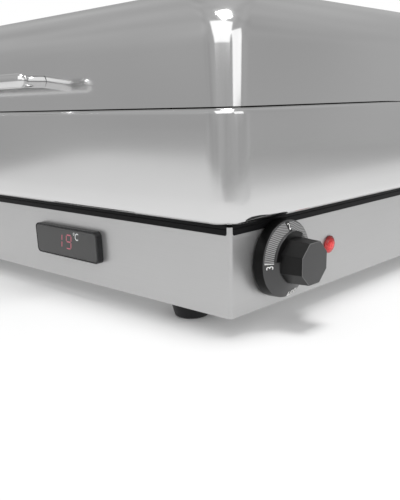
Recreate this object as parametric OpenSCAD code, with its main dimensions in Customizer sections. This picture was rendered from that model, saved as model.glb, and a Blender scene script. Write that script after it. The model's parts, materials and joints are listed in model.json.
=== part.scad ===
// Electric chafing dish: a heated base with thermostat and display, a drawn water
// vessel on top of it, a lift-out food pan and a hinged dome lid.
// The front faces -Y and the thermostat knob sits on the +X side.

/* [Base] */
// Width of the heated base
body_w = 556; // [540:5:600]
// Depth of the heated base
body_d = 370; // [350:5:410]
// Height of the base wall with its edge strip
wall_h = 70; // [66:1:80]
// Thickness of the steel sheet
sheet_t = 1; // [0.8:0.1:1.2]
// Bend radius of the upright corners
body_corner_r = 3; // [2:0.5:5]
// Height of the rubber feet
foot_h = 15; // [12:1:20]
// Width of a foot where it meets the base
foot_d = 35.8; // [24:0.2:40]
// Width of a foot on the table
foot_floor_d = 28.6; // [16:0.2:34]
// Distance from the side walls to a foot's centre
foot_inset_x = 65; // [50:1:70]
// Distance from the front and rear walls to a foot's centre
foot_inset_y = 25; // [22:1:32]

/* [Edge strips] */
// Visible height of the black edge strips
strip_h = 7.4; // [6:0.2:9]
// Thickness of a strip's upright leg
strip_t = 2.7; // [2.4:0.1:3.2]
// Width of the ledge under the vessel
strip_ledge_w = 12; // [10:0.5:13]
// Length of steel left at each corner between two strips
post_w = 3; // [2.5:0.1:4]

/* [Water vessel] */
// How far the vessel reaches past the base on every side
vessel_overhang = 9; // [8:0.5:12]
// Height of the vessel above the base
vessel_h = 80; // [78:1:90]
// Radius of the drawn edge at the vessel's bottom
vessel_curl_r = 7.5; // [6:0.5:9]
// Plan radius of the vessel's corners
vessel_corner_r = 23; // [20:1:30]
// Lean of the vessel wall, sideways over upwards
vessel_lean_share = 0.026; // [0:0.002:0.04]

/* [Food pan] */
// Width of the food pan over its flange
pan_w = 530; // [510:1:532]
// Depth of the food pan over its flange
pan_d = 325; // [300:1:330]
// Inside depth of the food pan
pan_h = 64; // [40:1:65]
// Width of the food pan's flange
pan_flange_w = 12; // [11:0.5:14]

/* [Lid] */
// Height of the lid above the vessel
lid_h = 82; // [80:1:100]
// Radius of the lid's shoulder
lid_shoulder_r = 42; // [36:1:44]
// Lean of the lid wall, sideways over upwards
lid_lean_share = 0.052; // [0.02:0.004:0.08]
// Length of the handle bar
handle_l = 180; // [140:5:240]
// Diameter of the handle bar
handle_d = 12; // [11:0.5:16]
// Gap between the lid wall and the handle bar
handle_gap = 28; // [24:1:36]

/* [Hinges] */
// Distance between the two hinges
hinge_span = 300; // [240:5:360]
// Diameter of the hinge pins
hinge_pin_d = 6; // [5:0.5:8]
// Width of a hinge knuckle
knuckle_w = 24; // [20:1:30]

/* [Thermostat] */
// Distance from the front corner to the knob's centre
knob_from_front = 54.7; // [50:0.1:64]
// Height of the knob's centre above the bottom of the wall
knob_up = 37.7; // [34:0.1:38]
// Diameter of the knob's skirt
knob_skirt_d = 60.4; // [56:0.2:62]
// Distance from the wall to the knob's front
knob_reach = 36.3; // [32:0.1:42]
// Width over the grip's corners at its front
grip_d = 34.6; // [30:0.2:36]
// Diameter of the thermostat's shaft
shaft_d = 6; // [5:0.5:7]

/* [Pilot lamp] */
// Distance from the front corner to the lamp's centre
lamp_from_front = 129.5; // [115:0.5:140]
// Diameter of the lamp's lens
lamp_d = 15.3; // [13:0.1:17]

/* [Display] */
// Width of the display housing
display_w = 93.6; // [84:0.2:100]
// Height of the display housing
display_h = 28.4; // [25:0.2:32]
// How far the display stands out of the wall
display_reach = 6.5; // [5:0.5:8]
// Height of the display's centre above the bottom of the wall
display_up = 35.5; // [32:0.1:38]
// Distance of the display's centre from the middle of the front, to the right
display_right = 83.6; // [60:0.2:100]

/* [Hidden] */
$fn = 64;

// Overrun of every cut, gaps between moving pieces, play in screw holes, seat of a fixed piece
cut = 1;
move_gap = 0.3;
hole_play = 0.1;
fit_gap = 0.05;

// Heights of the base above the table
wall_z0 = foot_h;
wall_z1 = wall_z0 + wall_h;
strip_z0 = wall_z1 - strip_h;
ledge_t = 2 * sheet_t;
flange_z1 = wall_z1 - ledge_t;

// Set-back of the wall behind the strips, widths of the top and bottom flanges
recess_t = strip_t + move_gap;
top_flange_w = 26;
bottom_flange_w = 12;

// Rounded end of a strip, the groove along its face, and the gap over the corner posts
strip_end_r = 2;
groove_h = 0.8;
groove_t = 0.6;
groove_up = 4.3;
post_gap = 1.2;

// Screws and studs: shank radii, and head and nut sizes over the radius
m4_r = 2;
m5_r = 2.5;
head_r_share = 1.75;
head_h_share = 0.9;
nut_r_share = 1.85;
nut_h_share = 1.6;

// Vessel: outline, heights and the seat for the food pan
vessel_w = body_w + 2 * vessel_overhang;
vessel_d = body_d + 2 * vessel_overhang;
deck_z = wall_z1 + vessel_h;
vessel_top_r = 4;
corner_steps = 8;
bend_steps = 5;
pan_seat_h = 4;
pan_seat_gap = 1.2;
pan_seat_w = 8.5;
seat_z = deck_z - pan_seat_h;

// Food pan: corner radii, floor radius and wall taper
pan_corner_r = 25;
pan_body_r = 32;
pan_floor_r = 12;
pan_taper_share = 0.1;
pan_z = seat_z + move_gap;

// Lid: set-in from the vessel, pads under its rim, and its crown
lid_inset = 7;
bumper_h = 0.6;
bumper_r = 2.5;
bumper_in = 60;
lid_z = deck_z + bumper_h + move_gap;
lid_w = vessel_w - 2 * lid_inset;
lid_d = vessel_d - 2 * lid_inset;
lid_corner_r = 20;
lid_corner_growth_share = 1.1;
lid_corner_share = 0.9;
lid_wall_h = lid_h - lid_shoulder_r;
lid_crown_h = 4;
crown_shares = [0.3, 0.6, 0.85];

// Hinge axis and pieces
hinge_out = 11;
hinge_up = 8;
hinge_y = vessel_d / 2 + hinge_out;
hinge_z = deck_z + hinge_up;
knuckle_r = 7;
ear_t = 4;
ear_gap = 0.4;
plate_t = 2.5;
bracket_h = 40;
bracket_down = 5;
arm_h = 26;
arm_up = 12;
web_h = 10;
rivet_r = 2;
rivet_shares = [0.18, 0.7];
arm_rivet_x = 6;
pin_head_share = 0.7;

// Handle posts and bar
handle_up = 24;
post_r = 5;
post_span_share = 0.72;
handle_z = lid_z + handle_up;
handle_wall_y = lid_d / 2 - lid_lean_share * handle_up;
handle_y = handle_wall_y + handle_gap + handle_d / 2;

// Places on the walls of the base
lamp_drop = 2.5;
inlet_from_side = 80;
knob_y = knob_from_front - body_d / 2;
knob_z = wall_z0 + knob_up;
lamp_y = lamp_from_front - body_d / 2;
lamp_z = knob_z - lamp_drop;
display_x = display_right;
display_z = wall_z0 + display_up;
inlet_x = body_w / 2 - inlet_from_side;
inlet_z = wall_z0 + wall_h / 2;

// Shift that brings the middle of the whole part over the origin
frame_x = (body_w / 2 + knob_reach - vessel_w / 2) / 2;
frame_y = (hinge_y + knuckle_r - handle_y - handle_d / 2) / 2;

module placed() {
  translate([-frame_x, -frame_y, 0]) children();
}

// Rounded rectangle about the origin
module plan(w, d, r) {
  square([w - 2 * r, d], center = true);
  square([w, d - 2 * r], center = true);
  for (x = [-1, 1], y = [-1, 1]) translate([x * (w / 2 - r), y * (d / 2 - r)]) circle(r);
}

module slab(w, d, r, z0, z1) {
  translate([0, 0, z0]) linear_extrude(z1 - z0) plan(w, d, r);
}

// Rectangular band with the given wall, between two heights
module band(w, d, r, wall, z0, z1) {
  difference() {
    slab(w, d, r, z0, z1);
    slab(w - 2 * wall, d - 2 * wall, max(r - wall, sheet_t), z0 - cut, z1 + cut);
  }
}

module rod(r, z0, z1) {
  translate([0, 0, z0]) cylinder(r = r, h = z1 - z0);
}

module ring(r, bore, z0, z1) {
  difference() {
    rod(r, z0, z1);
    rod(bore, z0 - cut, z1 + cut);
  }
}

module four(x, y) {
  for (sx = [-1, 1], sy = [-1, 1]) translate([sx * x, sy * y, 0]) children();
}

// An outline in Y and Z, extruded to a width along X
module along_x(w) {
  rotate([90, 0, 90]) translate([0, 0, -w / 2]) linear_extrude(w) children();
}

// Frames of the side, front and rear walls of the base: local z points outwards
module on_side(y, z) {
  translate([body_w / 2, y, z]) rotate([0, 90, 0]) children();
}

module on_front(x, z) {
  translate([x, -body_d / 2, z]) rotate([90, 0, 0]) children();
}

module on_rear(x, z) {
  translate([x, body_d / 2, z]) rotate([90, 0, 180]) children();
}

// Screw with its head on top of z = 0, and a nut standing on z = 0
module screw(r, length) {
  rod(r, -length, 0);
  rod(r * head_r_share, 0, r * head_h_share);
}

module nut(r) {
  difference() {
    cylinder(r = r * nut_r_share, h = r * nut_h_share, $fn = 6);
    rod(r + fit_gap, -cut, r * nut_h_share + cut);
  }
}

// Lofted shells: each ring is [half width, half depth, height, corner radius]
function ring_points(ring) = [
  for (c = [0:3], s = [0:corner_steps])
    let (
      a = 90 * (c + s / corner_steps),
      cx = (c == 0 || c == 3 ? 1 : -1) * (ring[0] - ring[3]),
      cy = (c < 2 ? 1 : -1) * (ring[1] - ring[3])
    )
    [cx + ring[3] * cos(a), cy + ring[3] * sin(a), ring[2]]
];

module loft(rings) {
  n = 4 * (corner_steps + 1);
  last = len(rings) - 1;
  points = [for (ring = rings) each ring_points(ring)];
  sides = [
    for (i = [0:last - 1], j = [0:n - 1])
      let (k = (j + 1) % n)
      each [[i * n + j, (i + 1) * n + j, (i + 1) * n + k], [i * n + j, (i + 1) * n + k, i * n + k]]
  ];
  caps = [[for (j = [0:n - 1]) j], [for (j = [n - 1:-1:0]) last * n + j]];
  polyhedron(points = points, faces = concat(sides, caps));
}

// A ring set in from an outline of width w and depth d
function inset_ring(w, d, inset, z, corner) = [w / 2 - inset, d / 2 - inset, z, max(corner, sheet_t)];

// Rings of a bend of radius r about a centre line at [inset, height]
function bend(w, d, inset, z, r, corner, a0, a1) = [
  for (s = [0:bend_steps])
    let (a = a0 + (a1 - a0) * s / bend_steps)
    inset_ring(w, d, inset - r * cos(a), z + r * sin(a), corner + r * cos(a))
];

// A lead along a smoothed route of points
roll_ref = [0.31, 0.23, 0.92];
lead_sides = 8;
lead_r = 1.4;
capillary_r = 1;

function smooth_route(p) = concat(
  [p[0]],
  [for (i = [0:len(p) - 2]) each [p[i] * 0.75 + p[i + 1] * 0.25, p[i] * 0.25 + p[i + 1] * 0.75]],
  [p[len(p) - 1]]
);

function unit(v) = v / norm(v);

function heading(p, i) = unit(p[min(i + 1, len(p) - 1)] - p[max(i - 1, 0)]);

module lead(route, r) {
  p = smooth_route(smooth_route(route));
  last = len(p) - 1;
  points = [
    for (i = [0:last], s = [0:lead_sides - 1])
      let (
        t = heading(p, i),
        u = unit(cross(t, roll_ref)),
        v = cross(t, u),
        a = 360 * s / lead_sides
      )
      p[i] + r * cos(a) * u + r * sin(a) * v
  ];
  sides = [
    for (i = [0:last - 1], s = [0:lead_sides - 1])
      let (k = (s + 1) % lead_sides, a = i * lead_sides, b = a + lead_sides)
      each [[a + s, b + s, b + k], [a + s, b + k, a + k]]
  ];
  caps = [
    [for (s = [0:lead_sides - 1]) s],
    [for (s = [lead_sides - 1:-1:0]) last * lead_sides + s]
  ];
  polyhedron(points = points, faces = concat(sides, caps));
}

// Housing of the base: walls, flanges and the cut-outs for everything on them
cover_screw_in = 7;
cover_screw_l = 4;
stud_in = 20;
stud_x = body_w / 2 - stud_in;
stud_y = body_d / 2 - stud_in;
tub_in = 3;
tub_w = display_w - 2 * tub_in;
tub_h = display_h - 2 * tub_in;
tub_r = 2;
neck_r = 5;
lamp_neck_r = 4.6;
bracket_screw_y = 14;
bracket_screw_l = 6;
inlet_w = 27;
inlet_h = 19.8;
inlet_r = 3;
inlet_screw_x = 20;

module at_cover_screws() {
  four(body_w / 2 - cover_screw_in, body_d / 2 - cover_screw_in) children();
  for (s = [-1, 1]) {
    translate([s * (body_w / 2 - cover_screw_in), 0, 0]) children();
    translate([0, s * (body_d / 2 - cover_screw_in), 0]) children();
  }
}

// Face of one strip, seen from outside, with its lower corners rounded
module strip_face(length, top) {
  w = length - 2 * post_w;
  translate([-w / 2, strip_end_r]) square([w, top - strip_end_r]);
  translate([strip_end_r - w / 2, 0]) square([w - 2 * strip_end_r, strip_end_r]);
  for (s = [-1, 1]) translate([s * (w / 2 - strip_end_r), strip_end_r]) circle(strip_end_r);
}

// Opening through one wall for its strip, on the side at -Y
module strip_cut(length, depth) {
  translate([0, sheet_t - depth / 2, strip_z0])
    rotate([90, 0, 0])
      linear_extrude(sheet_t + cut) strip_face(length, strip_h + cut);
}

module housing() {
  inner_w = body_w - 2 * recess_t;
  inner_d = body_d - 2 * recess_t;
  color("silver") difference() {
    union() {
      difference() {
        band(body_w, body_d, body_corner_r, sheet_t, wall_z0, wall_z1 - post_gap);
        for (s = [0, 180]) {
          rotate([0, 0, s]) strip_cut(body_w, body_d);
          rotate([0, 0, s + 90]) strip_cut(body_d, body_w);
        }
      }
      band(body_w, body_d, body_corner_r, recess_t + sheet_t, strip_z0 - sheet_t, strip_z0);
      band(inner_w, inner_d, body_corner_r, sheet_t, strip_z0 - sheet_t, flange_z1);
      band(inner_w, inner_d, body_corner_r, top_flange_w, flange_z1 - sheet_t, flange_z1);
      band(body_w, body_d, body_corner_r, bottom_flange_w, wall_z0 + sheet_t, wall_z0 + 2 * sheet_t);
    }
    at_cover_screws() rod(m4_r + hole_play, wall_z0, wall_z0 + 3 * sheet_t);
    four(stud_x, stud_y) rod(m5_r + hole_play, flange_z1 - 2 * sheet_t, flange_z1 + cut);
    on_front(display_x, display_z)
      slab(tub_w + 2 * move_gap, tub_h + 2 * move_gap, tub_r + move_gap, -2 * sheet_t, cut);
    on_side(knob_y, knob_z) {
      rod(neck_r + hole_play, -2 * sheet_t, cut);
      for (s = [-1, 1]) translate([0, s * bracket_screw_y, 0]) rod(m4_r + hole_play, -2 * sheet_t, cut);
    }
    on_side(lamp_y, lamp_z) rod(lamp_neck_r + hole_play, -2 * sheet_t, cut);
    on_rear(inlet_x, inlet_z) {
      slab(inlet_w + 2 * hole_play, inlet_h + 2 * hole_play, inlet_r + hole_play, -2 * sheet_t, cut);
      for (s = [-1, 1]) translate([s * inlet_screw_x, 0, 0]) rod(m4_r + hole_play, -2 * sheet_t, cut);
    }
  }
}

// One edge strip: a grooved upright leg and a mitred ledge, on the side at -Y
module edge_strip(length, depth) {
  corner = body_corner_r / 2 + move_gap;
  half = [[post_w, 0], [post_w, corner], [corner, corner], [strip_ledge_w, strip_ledge_w]];
  outline = concat(
    [for (p = half) [length / 2 - p[0], p[1]]],
    [for (i = [len(half) - 1:-1:0]) [half[i][0] - length / 2, half[i][1]]]
  );
  color([0.15, 0.15, 0.16]) translate([0, -depth / 2, 0]) difference() {
    union() {
      translate([0, 0, flange_z1]) linear_extrude(ledge_t) polygon(outline);
      translate([0, strip_t, strip_z0])
        rotate([90, 0, 0])
          linear_extrude(strip_t) strip_face(length, strip_h);
    }
    translate([-length / 2, -cut, strip_z0 + groove_up]) cube([length, cut + groove_t, groove_h]);
  }
}

module strip_front() { edge_strip(body_w, body_d); }
module strip_rear() { rotate([0, 0, 180]) edge_strip(body_w, body_d); }
module strip_right() { rotate([0, 0, 90]) edge_strip(body_d, body_w); }
module strip_left() { rotate([0, 0, -90]) edge_strip(body_d, body_w); }

// Bottom cover with vent slots, and holes for the screws, feet and terminal block
vent_l = 60;
vent_w = 3;
vent_pitch = 9;
vent_count = 7;
vent_x_share = 0.2;
block_w = 44;
block_d = 18;
block_h = 14;
block_x = inlet_x;
block_from_rear = 80;
block_y = body_d / 2 - block_from_rear;
block_peg_in = 6;
block_peg_r = 1.9;
earth_side = 40;
earth_back = 14;
earth_bolt_l = 12;
earth_x = block_x + earth_side;
earth_y = block_y + earth_back;

module bottom_cover() {
  w = body_w - 2 * sheet_t - 2 * move_gap;
  d = body_d - 2 * sheet_t - 2 * move_gap;
  top = wall_z0 + 2 * sheet_t;
  color("gainsboro") difference() {
    slab(w, d, body_corner_r, wall_z0, wall_z0 + sheet_t);
    at_cover_screws() rod(m4_r + hole_play, wall_z0 - cut, top);
    at_feet() rod(m4_r + hole_play, wall_z0 - cut, top);
    for (s = [-1, 1], i = [0:vent_count - 1])
      translate([s * vent_x_share * body_w, (i - (vent_count - 1) / 2) * vent_pitch, 0])
        slab(vent_l, vent_w, vent_w / 3, wall_z0 - cut, top);
    at_block_pegs() rod(block_peg_r + hole_play, wall_z0 - cut, top);
    translate([earth_x, earth_y, 0]) rod(m4_r + hole_play, wall_z0 - cut, top);
  }
}

module cover_screws() {
  color("lightgray") at_cover_screws()
    translate([0, 0, wall_z0]) mirror([0, 0, 1]) screw(m4_r, cover_screw_l);
}

// Rubber feet: cones with a counterbore for the screw
foot_x = body_w / 2 - foot_inset_x;
foot_y = body_d / 2 - foot_inset_y;
foot_bore_r = 4.5;
foot_web_t = 3;
foot_screw_l = 6;

module at_feet() {
  four(foot_x, foot_y) children();
}

module foot(sx, sy) {
  color([0.12, 0.12, 0.13]) translate([sx * foot_x, sy * foot_y, 0]) difference() {
    cylinder(r1 = foot_floor_d / 2, r2 = foot_d / 2, h = foot_h);
    rod(foot_bore_r, -cut, foot_h - foot_web_t);
    rod(m4_r + hole_play, -cut, foot_h + cut);
  }
}

module foot_front_right() { foot(1, -1); }
module foot_front_left() { foot(-1, -1); }
module foot_rear_right() { foot(1, 1); }
module foot_rear_left() { foot(-1, 1); }

module foot_screws() {
  color("lightgray") at_feet() {
    translate([0, 0, foot_h - foot_web_t]) mirror([0, 0, 1]) screw(m4_r, foot_web_t + foot_screw_l);
    translate([0, 0, wall_z0 + sheet_t]) nut(m4_r);
  }
}

// Drawn water vessel: curled bottom edge, leaning wall, deck and a sunk seat for the pan
function vessel_inset(z) = vessel_lean_share * (z - wall_z1 - vessel_curl_r);

function vessel_bend(inset, z, r, skin, a0) =
  bend(vessel_w, vessel_d, inset, z, r - skin, vessel_corner_r - r, a0, a0 + 90);

function vessel_wall(skin) =
  let (
    foot_z = wall_z1 + vessel_curl_r,
    top_z = deck_z - vessel_top_r,
    top_in = vessel_inset(top_z)
  )
  concat(
    vessel_bend(vessel_curl_r, foot_z, vessel_curl_r, skin, -90),
    vessel_bend(top_in + vessel_top_r, top_z, vessel_top_r, skin, 0)
  );

function seat_ring(reach, z) =
  [pan_w / 2 + reach, pan_d / 2 + reach, z, pan_corner_r + reach];

module vessel() {
  outer = vessel_wall(0);
  inner = vessel_wall(sheet_t);
  seat = [
    seat_ring(pan_seat_gap, deck_z),
    seat_ring(pan_seat_gap, seat_z),
    seat_ring(-pan_seat_w, seat_z),
    seat_ring(-pan_seat_w, seat_z - sheet_t),
    seat_ring(pan_seat_gap + sheet_t, seat_z - sheet_t),
    seat_ring(pan_seat_gap + sheet_t, deck_z - sheet_t)
  ];
  color("gainsboro") difference() {
    loft(concat(outer, seat, [for (i = [len(inner) - 1:-1:0]) inner[i]]));
    at_bracket_rivets() rod(rivet_r + fit_gap, -hinge_out, hinge_out);
  }
}

// Weld studs under the vessel: four hold the housing, four carry the heater
element_r = 3.25;
element_pitch = 50;
element_side = 35;
element_runs = 4;
cold_end = 60;
heater_stud_x = 110;
stud_end = 10;
spreader_t = 3;
spreader_side = 63;
spreader_w = body_w - 2 * spreader_side;
spreader_d = 210;
spreader_r = 12;
spreader_z0 = wall_z1 - spreader_t;
element_run = spreader_w - 2 * element_side;
element_z = spreader_z0 - element_r - hole_play;
clamp_w = 20;
clamp_t = 2;
clamp_z0 = element_z - element_r - hole_play - clamp_t;
insulation_t = 10;
insulation_z0 = clamp_z0 - insulation_t;
shield_z0 = insulation_z0 - sheet_t;
stud_low_z = shield_z0 - m5_r * nut_h_share - sheet_t;

module vessel_studs() {
  color("lightgray") {
    four(stud_x, stud_y) rod(m5_r, flange_z1 - stud_end, wall_z1);
    four(heater_stud_x, element_pitch) rod(m5_r, stud_low_z, wall_z1);
  }
}

module stud_nuts() {
  nut_h = m5_r * nut_h_share;
  color("lightgray") {
    four(stud_x, stud_y) translate([0, 0, flange_z1 - sheet_t - nut_h]) nut(m5_r);
    four(heater_stud_x, element_pitch) {
      translate([0, 0, clamp_z0 - nut_h]) nut(m5_r);
      translate([0, 0, shield_z0 - nut_h]) nut(m5_r);
    }
  }
}

module heat_spreader() {
  color([0.8, 0.82, 0.84]) difference() {
    slab(spreader_w, spreader_d, spreader_r, spreader_z0, wall_z1);
    four(heater_stud_x, element_pitch) rod(m5_r + hole_play, spreader_z0 - cut, wall_z1 + cut);
  }
}

// Tubular element: parallel runs joined by half turns, with cold ends on the left
function run_y(i) = (i - (element_runs - 1) / 2) * element_pitch;

module heating_element() {
  color([0.35, 0.34, 0.33]) translate([0, 0, element_z]) {
    for (i = [0:element_runs - 1]) {
      start = -element_run / 2 - (i == 0 || i == element_runs - 1 ? cold_end : 0);
      translate([start, run_y(i), 0]) rotate([0, 90, 0]) rod(element_r, 0, element_run / 2 - start);
    }
    for (i = [0:element_runs - 2]) {
      side = i % 2 == 0 ? 1 : -1;
      translate([side * element_run / 2, run_y(i) + element_pitch / 2, 0])
        rotate([0, 0, -90 * side])
          rotate_extrude(angle = 180) translate([element_pitch / 2, 0]) circle(element_r);
    }
  }
}

terminal_l = 10;
terminal_r = 1.6;
terminal_x = -element_run / 2 - cold_end;

module element_terminals() {
  color("goldenrod") for (i = [0, element_runs - 1])
    translate([terminal_x, run_y(i), element_z]) rotate([0, -90, 0]) rod(terminal_r, 0, terminal_l);
}

module element_clamps() {
  l = element_pitch * (element_runs - 1) + clamp_w;
  color("silver") for (s = [-1, 1]) translate([s * heater_stud_x, 0, 0]) difference() {
    slab(clamp_w, l, clamp_t, clamp_z0, clamp_z0 + clamp_t);
    for (y = [-1, 1]) translate([0, y * element_pitch, 0])
      rod(m5_r + hole_play, clamp_z0 - cut, clamp_z0 + clamp_t + cut);
  }
}

// Mineral wool under the heater, open in the middle for the cut-out and the bulb
window_w = 64;
window_d = 96;
window_y = 22;

module insulation() {
  color([0.93, 0.9, 0.82]) difference() {
    slab(spreader_w, spreader_d, spreader_r, insulation_z0, clamp_z0);
    translate([0, window_y, 0])
      slab(window_w, window_d, spreader_r / 2, insulation_z0 - cut, clamp_z0 + cut);
    four(heater_stud_x, element_pitch) rod(2 * m5_r + cut, insulation_z0 - cut, clamp_z0 + cut);
  }
}

grommet_r = 9;

module heat_shield() {
  color("silver") difference() {
    slab(spreader_w, spreader_d, spreader_r, shield_z0, insulation_z0);
    four(heater_stud_x, element_pitch) rod(m5_r + hole_play, shield_z0 - cut, insulation_z0 + cut);
    translate([0, element_pitch / 2, 0]) rod(grommet_r, shield_z0 - cut, insulation_z0 + cut);
  }
}

// Safety cut-out against the spreader
cutout_r = 8;
cutout_h = 9;
cutout_flange_w = 30;
cutout_flange_d = 10;
tab_w = 4;
tab_t = 0.8;
tab_h = 6;

module thermal_cutout() {
  color([0.75, 0.72, 0.65]) {
    difference() {
      union() {
        rod(cutout_r, spreader_z0 - cutout_h, spreader_z0);
        slab(cutout_flange_w, cutout_flange_d, cutout_flange_d / 3, spreader_z0 - sheet_t, spreader_z0);
      }
      for (s = [-1, 1]) translate([s * (cutout_flange_w / 2 - tab_w), 0, 0])
        rod(terminal_r, spreader_z0 - 2 * cut, spreader_z0 + cut);
    }
    for (s = [-1, 1]) translate([s * tab_w - tab_t / 2, -tab_w / 2, spreader_z0 - cutout_h - tab_h])
      cube([tab_t, tab_w, tab_h]);
  }
}

// Thermostat bulb, clipped under the spreader, and its capillary
bulb_r = 3;
bulb_l = 44;
bulb_x0 = -30;
bulb_z = spreader_z0 - bulb_r - hole_play;
bulb_clip_w = 12;
bulb_clip_foot = 6;
bulb_x1 = bulb_x0 + bulb_l;

module sensing_bulb() {
  color([0.8, 0.5, 0.35]) translate([bulb_x0, element_pitch, bulb_z])
    rotate([0, 90, 0]) cylinder(r = bulb_r, h = bulb_l);
}

module bulb_clip() {
  outer = bulb_r + sheet_t;
  top = bulb_r + hole_play;
  middle = bulb_x0 + bulb_l / 2;
  color("silver") translate([middle, element_pitch, bulb_z]) along_x(bulb_clip_w) difference() {
    union() {
      circle(outer);
      translate([-outer - bulb_clip_foot, top - sheet_t]) square([2 * (outer + bulb_clip_foot), sheet_t]);
    }
    circle(bulb_r + fit_gap);
    translate([-bulb_r - fit_gap, 0]) square([2 * (bulb_r + fit_gap), outer + cut]);
  }
}

// Capillary thermostat behind the side wall
can_r = 19;
can_h = 22;
frame_t = 1.5;
frame_w = 20;
frame_l = 44;
shaft_out = 27;
shaft_in = 16;
flat_share = 0.45;
can_z1 = -sheet_t - frame_t;
can_z0 = can_z1 - can_h;
can_x = body_w / 2 + can_z0;

module thermostat_body() {
  color([0.7, 0.7, 0.68]) on_side(knob_y, knob_z) difference() {
    union() {
      rod(neck_r, can_z1, 0);
      slab(frame_w, frame_l, frame_t, can_z1, -sheet_t);
      rod(can_r, can_z0, can_z1);
    }
    rod(shaft_d / 2 + fit_gap, -shaft_in - cut, cut);
    for (s = [-1, 1]) translate([0, s * bracket_screw_y, 0])
      rod(m4_r + fit_gap, -bracket_screw_l - cut, cut);
  }
}

module thermostat_shaft() {
  r = shaft_d / 2;
  color("silver") on_side(knob_y, knob_z) difference() {
    rod(r, -shaft_in, shaft_out);
    translate([flat_share * shaft_d - fit_gap, -r, knob_face / 2]) cube([r, 2 * r, shaft_out]);
  }
}

module thermostat_screws() {
  color("lightgray") on_side(knob_y, knob_z)
    for (s = [-1, 1]) translate([0, s * bracket_screw_y, 0]) screw(m4_r, bracket_screw_l);
}

// Knob: a hollow skirt with a sloping face, an eight-sided grip, a raised collar round part of it, a
// hub on the shaft, and the printed scale
knob_gap = 1;
knob_face = 10.5;
skirt_r = knob_skirt_d / 2;
skirt_t = 2;
skirt_flare = 0.4;
grip_flare = 1.1;
grip_sides = 8;
slope_r = grip_d / 2 + grip_flare;
slope_h = 6.4;
hub_r = 6.5;
collar_w = 3.9;
collar_h = 0.4;
collar_a0 = 60;
collar_a1 = 175;
scale_edge_share = 0.6;
scale_in = scale_edge_share * skirt_t;
scale_r0 = slope_r + collar_w + move_gap;
scale_r1 = skirt_r - scale_in;
scale_t = skirt_t / 8;
scale_arcs = [[27, 88], [98, 178]];
clip_t = 0.7;
clip_h = 6;

// Part of a flat ring between two angles, seen from the knob's front
module arc(r0, w, h, a0, a1) {
  rotate([0, 0, a0 + 90]) rotate_extrude(angle = a1 - a0) translate([r0, 0]) square([w, h]);
}

// Height of the sloping face at a radius
function slope_z(r) = knob_face + slope_h * (skirt_r - r) / (skirt_r - slope_r);

module knob() {
  grip_r = grip_d / 2;
  hollow_r = grip_r * cos(180 / grip_sides) - skirt_t;
  grip_z = knob_face + slope_h - skirt_t / 2;
  color([0.17, 0.17, 0.18]) on_side(knob_y, knob_z) difference() {
    union() {
      translate([0, 0, knob_gap])
        cylinder(r1 = skirt_r + skirt_flare, r2 = skirt_r, h = knob_face - knob_gap);
      translate([0, 0, knob_face]) cylinder(r1 = skirt_r, r2 = slope_r, h = slope_h);
      translate([0, 0, grip_z]) rotate([0, 0, 180 / grip_sides])
        cylinder(r1 = slope_r, r2 = grip_r, h = knob_reach - grip_z, $fn = grip_sides);
      translate([0, 0, knob_face + slope_h / 4])
        arc(hollow_r, slope_r + collar_w - hollow_r, slope_h * 3 / 4 + collar_h, collar_a0, collar_a1);
    }
    ring(skirt_r - skirt_t, hub_r, knob_gap - cut, knob_face - skirt_t);
    ring(hollow_r, hub_r, knob_gap, knob_reach - 2 * skirt_t);
    rod(shaft_d / 2 + fit_gap, 0, shaft_out + cut);
  }
}

module knob_scale() {
  band = [
    [scale_r0, slope_z(scale_r0)], [scale_r1, slope_z(scale_r1)],
    [scale_r1, slope_z(scale_r1) + scale_t], [scale_r0, slope_z(scale_r0) + scale_t]
  ];
  color([0.62, 0.62, 0.62]) on_side(knob_y, knob_z) translate([0, 0, fit_gap])
    for (a = scale_arcs) rotate([0, 0, a[0] + 90]) rotate_extrude(angle = a[1] - a[0]) polygon(band);
}

module knob_clip() {
  color("silver") on_side(knob_y, knob_z)
    ring(hub_r + fit_gap + clip_t, hub_r + fit_gap, knob_face + skirt_t, knob_face + skirt_t + clip_h);
}

// Pilot lamp: a domed red lens and the holder behind the wall
lens_rim_h = 1.6;
lens_dome_h = 2.8;
lens_neck_l = 3;
lens_steps = 6;
lamp_body_r = 5.8;
lamp_body_l = 20;

module lamp_lens() {
  r = lamp_d / 2;
  dome = [
    for (i = [0:lens_steps])
      let (a = 90 * i / lens_steps)
      [r * cos(a), lens_rim_h + lens_dome_h * sin(a)]
  ];
  color([0.85, 0.05, 0.07]) on_side(lamp_y, lamp_z) rotate_extrude()
    polygon(concat([[0, -lens_neck_l], [lamp_neck_r, -lens_neck_l], [lamp_neck_r, 0], [r, 0]], dome));
}

module lamp_body() {
  color([0.9, 0.9, 0.88]) on_side(lamp_y, lamp_z) difference() {
    rod(lamp_body_r, -sheet_t - lamp_body_l, -sheet_t);
    rod(lamp_neck_r + fit_gap, -lens_neck_l - fit_gap, 0);
  }
}

// Display: housing with bezel and tub, window, board, digits and spring clips
bezel_w = 1.8;
window_t = 1;
window_sink = 0.2;
tub_l = 18;
tub_t = 1.5;
board_t = 1.6;
board_z = -5.6;
boss_r = 2;
digits_w = 34;
digits_h = 14;
digits_x = 4;
digits_z1 = 3;
segment_l = 5.4;
segment_t = 1.1;
segment_gap = 0.4;
digit_pitch = 9;
clip_w = 10;
clip_l = 8;
clip_reach = 3.5;

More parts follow.
